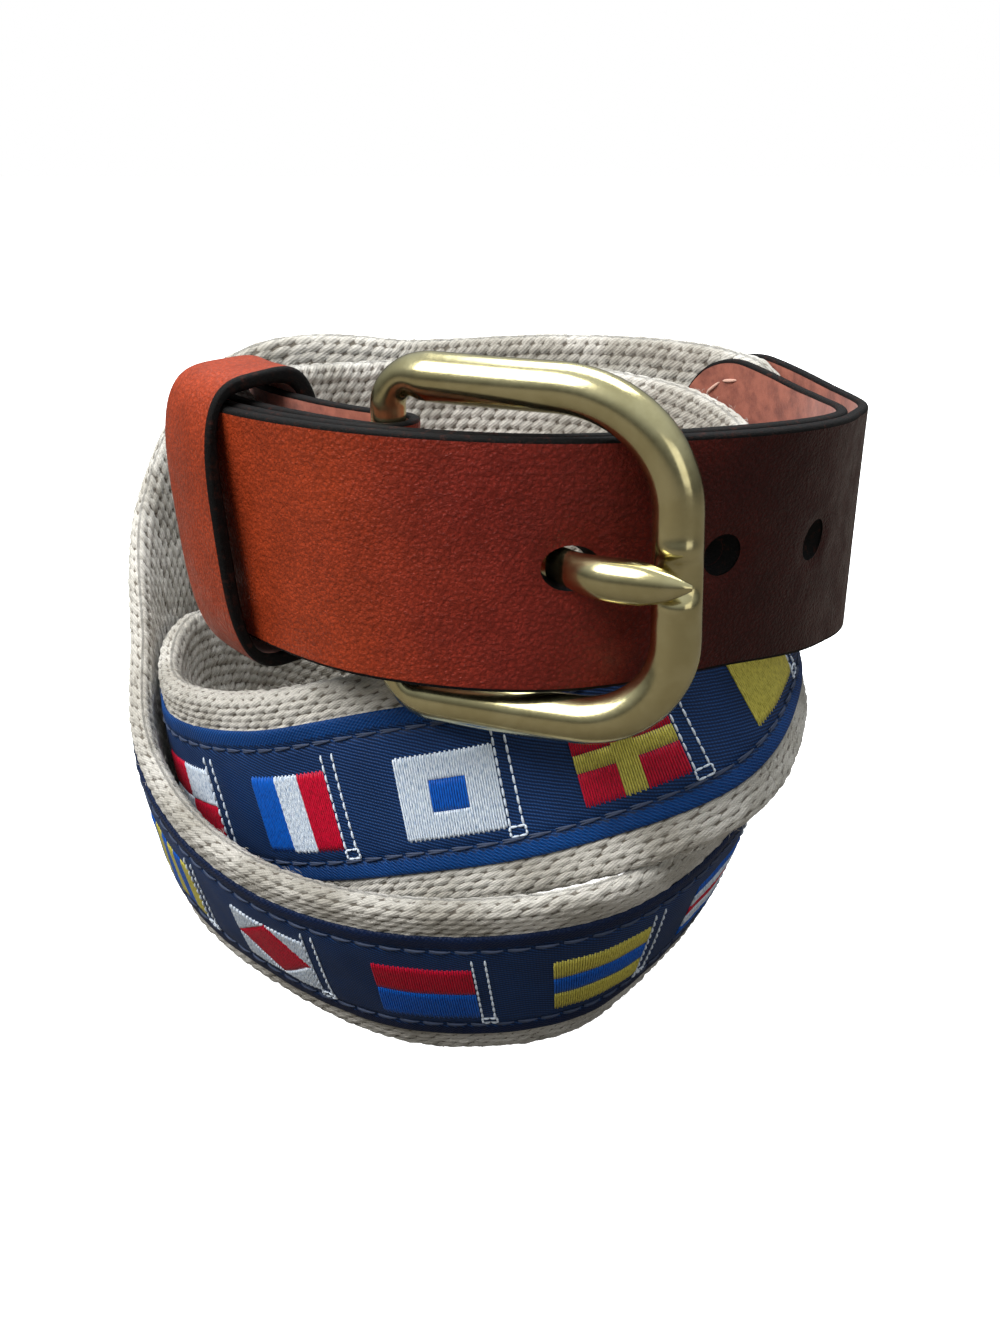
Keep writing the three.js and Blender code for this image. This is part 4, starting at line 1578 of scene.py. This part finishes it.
@dataclass
class Chape:
    """The thin leather folded round the heel bar, with a slot for the prong."""

    path: CoiledPath
    step: float = 0.8
    slot_long: float = 12.0
    slot_tall: float = 6.4

    def build(self, finishes: list[bpy.types.Material]) -> bpy.types.Object:
        """Makes the chape.

        Args:
            finishes: Face, edge and flesh-side materials.
        Returns:
            The chape.
        """
        inner = SIZE.heel_radius + 0.3
        fold = inner + SIZE.ply / 2
        middle = SIZE.ply_low + SIZE.ply / 2
        stations = self.path.every(PLACE.heel_bar, PLACE.chape_end, self.step)
        share = np.clip((stations - PLACE.heel_bar) / 0.5, 0, 1)
        heights = fold + (middle - fold) * share
        section = StripSection.rounded(24, 3, 2)
        half = SIZE.half_width
        w, offset = section.place(np.array([half]), np.array([-SIZE.ply / 2]), np.array([SIZE.ply / 2]), 0.4)
        w, offset = w[0], offset[0]
        rows = []
        for k in range(len(stations) - 1, -1, -1):
            rows.append(self.path.points(stations[k], w, -heights[k] - offset))
        centre, along, across, outward = self.path.frames(np.array(PLACE.heel_bar))
        for angle in np.radians(np.linspace(-90, -270, 17)[1:-1]):
            radial = along * math.cos(angle) + outward * math.sin(angle)
            rows.append(centre + radial * ((fold + offset) * MM)[:, None] + across * (w * MM)[:, None])
        for k in range(len(stations)):
            rows.append(self.path.points(stations[k], w, heights[k] + offset))
        points = np.stack(rows)
        steps = np.linalg.norm(np.diff(points[:, 0], axis=0), axis=1) / MM
        lengths = np.concatenate([[0.0], np.cumsum(steps)])
        uv = strip_uv(lengths, np.tile(w, (len(lengths), 1)), np.tile(offset, (len(lengths), 1)))
        builder = MeshBuilder("leather_chape")
        builder.add_sheet(points, uv, section.zone, ring=True)
        piece = builder.build(finishes, LEATHER_SHARP_DEGREES)
        cut_holes(piece, self.slot_peg(finishes))
        return piece

    def slot_peg(self, finishes: list[bpy.types.Material]) -> bpy.types.Object:
        """Makes the block that the prong's slot is cut with."""
        centre, along, across, outward = self.path.frames(np.array(PLACE.heel_bar))
        centre = centre - along * 1.5 * MM
        long, tall = self.slot_long / 2, self.slot_tall / 2
        ring = np.array([(-long, -tall), (long, -tall), (long, tall), (-long, tall)]) * MM
        flat = centre + ring[:, :1] * along + ring[:, 1:] * across
        rows = [flat + outward * depth * MM for depth in (-8, 8)]
        builder = MeshBuilder("slot_peg")
        builder.add_sheet(np.stack(rows), np.zeros((2, 5, 2)), Zone.EDGE.value, ring=True)
        return builder.build(finishes)


@dataclass
class Keeper:
    """The leather loop round the chape and the billet, with black edges."""

    path: CoiledPath
    inside: float = -4.8
    outside: float = 9.2
    half_tall: float = 17.8
    power: float = 0.45
    outer_power: float = 0.62
    thickness: float = 2.0
    around: int = 120

    def build(self, finishes: list[bpy.types.Material]) -> bpy.types.Object:
        """Makes the keeper.

        Args:
            finishes: Face, edge and flesh-side materials.
        Returns:
            The keeper.
        """
        section = StripSection.rounded(16, 4, 2)
        low, high = self.path.length_at(PLACE.keeper_start), self.path.length_at(PLACE.keeper_end)
        half = np.array([float(high - low) / 2])
        width, depth = section.place(half, np.array([0.0]), np.array([self.thickness]), 0.6)
        stations = self.path.station_at((low + high) / 2 + width[0])
        angles = np.linspace(0, 2 * math.pi, self.around, endpoint=False)
        c, d = np.cos(angles)[:, None], np.sin(angles)[:, None]
        power = self.power + (self.outer_power - self.power) * depth / self.thickness * (c > 0)
        bow_n = np.sign(c) * np.abs(c) ** power
        bow_w = np.sign(d) * np.abs(d) ** power
        middle, reach = (self.inside + self.outside) / 2, (self.outside - self.inside) / 2
        w = bow_w * (self.half_tall + depth)
        n = middle + bow_n * (reach + depth)
        points = self.path.points(np.broadcast_to(stations[None, :], w.shape), w, n)
        steps = np.linalg.norm(np.diff(points[:, 0], axis=0), axis=1) / MM
        lengths = np.concatenate([[0.0], np.cumsum(steps)])
        lengths = np.append(lengths, lengths[-1] + steps[-1])
        uv = strip_uv(lengths, np.tile(width, (len(lengths), 1)), np.tile(depth, (len(lengths), 1)))
        builder = MeshBuilder("leather_keeper")
        builder.add_sheet(points, uv, section.zone, ring=True, loop=True)
        return builder.build(finishes, 60)


@dataclass
class BuckleFrame:
    """The heel-bar frame: a rounded front, a parting line, and a plainer back."""

    path: CoiledPath
    half_height: float = 20.6
    middle_height: float = 74.5
    reach: float = 34.5
    bow: float = 14.6
    corner_radii: tuple = (4.0, 14.0, 11.5, 4.0)
    prong_height: float = 73.5
    sides: int = 56

    def line(self) -> np.ndarray:
        """Gives the frame's centre line as points in metres."""
        bar, _, up, _ = self.path.frames(np.array(PLACE.heel_bar))
        shift = self.path.shift / MM
        bar = bar / MM - shift
        half, reach = self.half_height, self.reach
        corners = ((0, half, 180), (reach, half, 90), (reach, -half, 0), (0, -half, -90))
        outline: list[tuple[float, float]] = []
        for (x, z, start), radius in zip(corners, self.corner_radii):
            cx = radius if x == 0 else x - radius
            cz = z - radius if z > 0 else z + radius
            for k in range(19):
                angle = math.radians(start - 90 * k / 18)
                outline.append((cx + math.cos(angle) * radius, cz + math.sin(angle) * radius))
        outline.append(outline[0])
        track = np.array(outline)
        steps = np.linalg.norm(np.diff(track, axis=0), axis=1)
        walked = np.concatenate([[0.0], np.cumsum(steps)])
        places = np.linspace(0, walked[-1], 341)[:-1]
        x, z = np.interp(places, walked, track[:, 0]), np.interp(places, walked, track[:, 1])
        t = np.clip(x / reach, 0, 1)
        height = self.middle_height + z
        lift = (height - bar[2]) / up[2]
        y = bar[1] - self.bow * (0.5 * t + 0.5 * np.sin(t * math.pi / 2)) + up[1] * lift
        return (np.stack([bar[0] + x + up[0] * lift, y, height], -1) + shift) * MM

    def radius_at(self, line: np.ndarray) -> np.ndarray:
        """Gives the bar's radius in metres, thinner at the heel."""
        heel = float(self.path.frames(np.array(PLACE.heel_bar))[0][0])
        t = np.clip((line[:, 0] - heel - 0.4 * MM) / (5 * MM), 0, 1)
        ease = t * t * (3 - 2 * t)
        return (SIZE.heel_radius + (SIZE.bar_radius - SIZE.heel_radius) * ease) * MM

    def seat(self, line: np.ndarray) -> np.ndarray:
        """Gives the height of the prong's seat on the front: a dip between two lips."""
        away = line[:, 2] / MM - self.path.shift[2] / MM - self.prong_height
        right = line[:, 0] > line[:, 0].max() - 3 * MM
        dip = -0.9 * np.exp(-((away / 2.2) ** 4))
        lips = 0.3 * (np.exp(-(((away - 3.6) / 1.1) ** 2)) + np.exp(-(((away + 3.6) / 1.1) ** 2)))
        return np.where(right, dip + lips, 0)

    def build(self, finish: bpy.types.Material) -> bpy.types.Object:
        """Makes the frame."""
        line = self.line()
        radius = self.radius_at(line)
        seat = self.seat(line)
        along = unit(np.roll(line, -1, axis=0) - np.roll(line, 1, axis=0))
        front = unit(np.array([0.0, -1.0, 0.0]) + along * along[:, 1:2])
        side = np.cross(along, front)
        angles = np.linspace(0, 2 * math.pi, self.sides, endpoint=False)
        parting = np.radians(98)
        bend = np.minimum(np.abs(angles - parting), np.abs(2 * math.pi - angles - parting))
        groove = -0.16 * np.exp(-((bend / 0.055) ** 2))
        back = np.where(np.cos(angles) < math.cos(parting), -0.1, 0.0)
        flat_back = np.clip(-np.cos(angles) - 0.72, 0, 1) * -1.1
        thick = np.clip((radius / MM - SIZE.heel_radius) / (SIZE.bar_radius - SIZE.heel_radius), 0, 1)
        shape = radius[:, None] + thick[:, None] * (groove + back + flat_back)[None, :] * MM
        shape = shape + seat[:, None] * np.clip(np.cos(angles), 0, 1)[None, :] ** 2 * MM
        forward = np.cos(angles)[None, :, None] * front[:, None, :]
        sideways = np.sin(angles)[None, :, None] * side[:, None, :]
        points = line[:, None, :] + (forward + sideways) * shape[:, :, None]
        rows, columns = points.shape[:2]
        uv = np.stack(np.meshgrid(np.arange(columns + 1), np.arange(rows + 1)), -1).astype(float)
        builder = MeshBuilder("brass_frame")
        builder.add_sheet(points, uv, ring=True, loop=True)
        return builder.build([finish])


@dataclass
class Prong:
    """The brass prong: an eye round the heel bar, a shank, and a drop-shaped end."""

    path: CoiledPath
    height: float = 73.5
    rows: tuple = (
        (-12.2, -40.9, 0.8, 2.2), (-8, -42, 1.1, 2.1), (-1.5, -43, 1.2, 2.0), (3.9, -43.9, 1.1, 2.1),
        (7, -47.3, 1.3, 2.3), (9.3, -51, 1.7, 2.4), (12.2, -54, 2.2, 2.7), (16, -55.9, 2.2, 2.7),
        (18.6, -57.1, 1.7, 2.1), (20.8, -57.8, 0.9, 1.1), (22.2, -58, 0.3, 0.35),
    )

    def build(self, finish: bpy.types.Material) -> bpy.types.Object:
        """Makes the prong."""
        table = np.array(self.rows)
        guide = CoiledPath(np.hstack([table[:, :2] * MM, table[:, 2:] * MM]), np.zeros(3))
        spots = np.linspace(0, len(table) - 1, 121)
        i = np.clip(np.floor(spots).astype(int), 0, len(table) - 2)
        f = (spots - i)[:, None]
        value = smooth_through(guide.padded, i, f)[0]
        level = np.full(len(value), self.height * MM)
        centre = np.stack([value[:, 0], value[:, 1], level], -1) + self.path.shift
        along = unit(np.gradient(centre, axis=0))
        side = np.stack([along[:, 1], -along[:, 0], np.zeros(len(along))], -1)
        angles = np.linspace(0, 2 * math.pi, 32, endpoint=False)
        ring = side[:, None, :] * (np.cos(angles)[None, :] * value[:, 2:3])[:, :, None]
        ring = ring + np.array([0, 0, 1.0]) * (np.sin(angles)[None, :] * value[:, 3:4])[:, :, None]
        points = centre[:, None, :] + ring
        builder = MeshBuilder("brass_prong")
        uv = np.zeros((len(points), len(angles) + 1, 2))
        builder.add_sheet(points, uv, ring=True)
        builder.add_sheet(self.eye(), np.zeros((49, 17, 2)), ring=True, loop=True)
        return builder.build([finish], 40)

    def eye(self) -> np.ndarray:
        """Gives the points of the eye round the heel bar."""
        bar = self.path.frames(np.array(PLACE.heel_bar))[0]
        level = self.height * MM + self.path.shift[2]
        inner = SIZE.heel_radius + 0.3
        turn = np.linspace(0, 2 * math.pi, 48, endpoint=False)
        small = np.linspace(0, 2 * math.pi, 16, endpoint=False)
        radius = inner + 0.8 + 0.8 * np.sign(np.cos(small)) * np.abs(np.cos(small)) ** 0.6
        rise = 2.1 * np.sign(np.sin(small)) * np.abs(np.sin(small)) ** 0.5
        x = bar[0] + np.cos(turn)[:, None] * radius[None, :] * MM
        y = bar[1] + np.sin(turn)[:, None] * radius[None, :] * MM
        z = np.broadcast_to(level + rise[None, :] * MM, x.shape)
        return np.stack([x, y, z], -1)


@dataclass
class LooseFibres:
    """Short cotton fibres that stand off the web's faces and edges."""

    path: CoiledPath
    count: int = 5200
    groups: int = 2
    span: float = 1.3
    thickness: float = 0.045
    dip: float = 0.25
    edge_share: float = 0.6
    inner_from: float = 0.85

    def build(self, finish: bpy.types.Material) -> list[bpy.types.Object]:
        """Makes the fibres, in groups that each stay a mesh of modest size."""
        rng = np.random.default_rng(SEED + 1)
        low, high = self.path.length_at(PLACE.keeper_end) + 1, self.path.length_at(PLACE.tab_start) + 6
        lengths = rng.uniform(low, high, self.count)
        stations = self.path.station_at(lengths)
        kind = rng.random(self.count)
        side = np.sign(rng.random(self.count) - 0.5)
        edge = kind < self.edge_share
        w = np.where(edge, side * (SIZE.half_width + 0.1), side * rng.uniform(11.6, 15.5, self.count))
        n = np.where(edge, rng.uniform(-1.3, 1.3, self.count), SIZE.web_half + 0.05)
        n = np.where(kind > self.inner_from, -SIZE.web_half - 0.05, n)
        _, along, across, outward = self.path.frames(stations)
        normal = np.where(edge[:, None], across * side[:, None], outward * np.sign(n)[:, None])
        run = along * rng.uniform(-1, 1, (self.count, 1)) + across * rng.uniform(-0.5, 0.5, (self.count, 1))
        run = unit(run + normal * rng.uniform(0.0, 0.7, (self.count, 1)))
        spans = rng.uniform(0.5, 1.0, self.count) * self.span * MM
        middles = self.path.points(stations, w, n) + run * spans[:, None] * 0.3
        pieces = []
        for number, group in enumerate(np.array_split(np.arange(self.count), self.groups), 1):
            fibres = ThreadField(f"loose_fibres_{number}", self.thickness, self.dip)
            fibres.add(middles[group], run[group], normal[group], spans[group])
            pieces.append(fibres.build(finish))
        return pieces


@dataclass
class Studio:
    """The pale floor, the soft lights and the camera at the photo's view."""

    path: CoiledPath
    eye: tuple = (0.0, -280.0, 137.0)
    pitch_degrees: float = 18.2
    image_height: int = 1333
    focal_pixels: float = 2000.0

    def camera(self) -> None:
        """Makes the camera."""
        data = bpy.data.cameras.new("camera")
        data.sensor_width = 36.0
        data.lens = data.sensor_width * self.focal_pixels / self.image_height
        data.clip_start = 0.01
        camera = bpy.data.objects.new("camera", data)
        camera.location = np.array(self.eye) * MM + self.path.shift
        camera.rotation_euler = (math.radians(90 - self.pitch_degrees), 0, 0)
        bpy.context.scene.collection.objects.link(camera)
        bpy.context.scene.camera = camera

    def lamp(self, name: str, place: tuple, size: tuple, power: float, colour: tuple = (1, 1, 1)) -> None:
        """Makes a soft rectangular light that looks at the belt.

        Args:
            name: The light's name.
            place: Its place in metres.
            size: Its width and height in metres.
            power: Its power in watts.
            colour: Its colour.
        """
        data = bpy.data.lights.new(name, "AREA")
        data.shape = "RECTANGLE"
        data.size, data.size_y = size
        data.energy = power
        data.color = colour
        light = bpy.data.objects.new(name, data)
        light.location = place
        aim = Vector((0, 0, 0.05)) - Vector(place)
        light.rotation_euler = aim.to_track_quat("-Z", "Y").to_euler()
        bpy.context.scene.collection.objects.link(light)

    def lights(self) -> None:
        """Makes the lights and the world: pale overhead, darker toward the horizon."""
        self.lamp("window", (-0.42, -0.30, 0.62), (0.55, 0.45), 8.0, (1.0, 0.99, 0.97))
        self.lamp("overhead", (0.10, 0.25, 0.85), (0.7, 0.5), 8.5, (0.95, 0.98, 1.0))
        self.lamp("low_fill", (0.55, -0.55, 0.22), (0.4, 0.35), 0.5, (1.0, 0.97, 0.93))
        world = bpy.data.worlds.new("studio")
        world.use_nodes = True
        bench = Bench(world.node_tree)
        where = world.node_tree.nodes.new("ShaderNodeTexCoord").outputs["Generated"]
        height = bench.node("ShaderNodeSeparateXYZ", Vector=where).outputs[2]
        dim = bench.mix(bench.ramp(height, -0.1, 0.8), (0.1, 0.1, 0.095, 1), (0.7, 0.74, 0.77, 1))
        seen = world.node_tree.nodes.new("ShaderNodeLightPath").outputs["Is Camera Ray"]
        colour = bench.mix(seen, dim, (1.0, 1.0, 1.0, 1))
        bench.feed(world.node_tree.nodes["Background"].inputs["Color"], colour)
        bpy.context.scene.world = world
        bpy.context.scene.view_settings.view_transform = "Standard"

    def floor(self) -> bpy.types.Object:
        """Makes the floor."""
        reach = 1.5
        rows = np.array([[(x, y, 0.0) for x in (-reach, 0.0, reach)] for y in (-reach, 0.0, reach)])
        builder = MeshBuilder("studio_floor")
        builder.add_sheet(rows, np.zeros((3, 3, 2)))
        floor = builder.build([PaperFinish().build()])
        return floor


def keep(piece: bpy.types.Object, slot: str, *nodes: str) -> None:
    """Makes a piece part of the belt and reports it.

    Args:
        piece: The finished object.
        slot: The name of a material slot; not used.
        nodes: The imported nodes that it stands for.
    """
    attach(piece, "root")
    if nodes:
        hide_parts(*nodes)
    log.info("%s: %d faces", piece.name, len(piece.data.polygons))


def main() -> None:
    """Builds the belt's pieces in order, dresses them and sets the studio."""
    path = coiled_path()
    studio = Studio(path)
    studio.camera()
    cotton = CottonFinish().build()
    threads = [FLAG_THREADS[colour].build() for colour in ThreadColour]
    seam_thread = ThreadFinish("grey_navy_thread", linear(66, 78, 104), linear(30, 38, 58), 0.6).build()
    tab_thread = ThreadFinish("pale_thread", linear(214, 176, 160), linear(168, 122, 104), 0.7).build()
    leather = [LeatherFinish().build(), InkedEdgeFinish().build(), SuedeFinish().build()]
    brass = BrassFinish().build()
    for piece in WebbingStrap(path).build(cotton):
        keep(piece, "webbing", "webbing")
    ribbon = FlagRibbon(path)
    keep(ribbon.build(TwillFinish().build()), "ribbon", "flag_ribbon")
    for piece in EmbroideredFlags(path, ribbon).build(threads):
        keep(piece, "ribbon")
    keep(RibbonStitching(path, ribbon).build(seam_thread), "ribbon")
    billet = Billet(path)
    keep(billet.build(leather), "leather", "billet")
    keep(billet.seam(tab_thread), "leather")
    keep(Chape(path).build(leather), "leather", "chape")
    keep(Keeper(path).build(leather), "leather", "keeper")
    keep(BuckleFrame(path).build(brass), "brass", "buckle_frame")
    keep(Prong(path).build(brass), "brass", "prong")
    for piece in LooseFibres(path).build(cotton):
        keep(piece, "webbing")
    studio.lights()
    studio.floor()


if __name__ == "__main__":
    logging.basicConfig(level=logging.INFO)
    main()
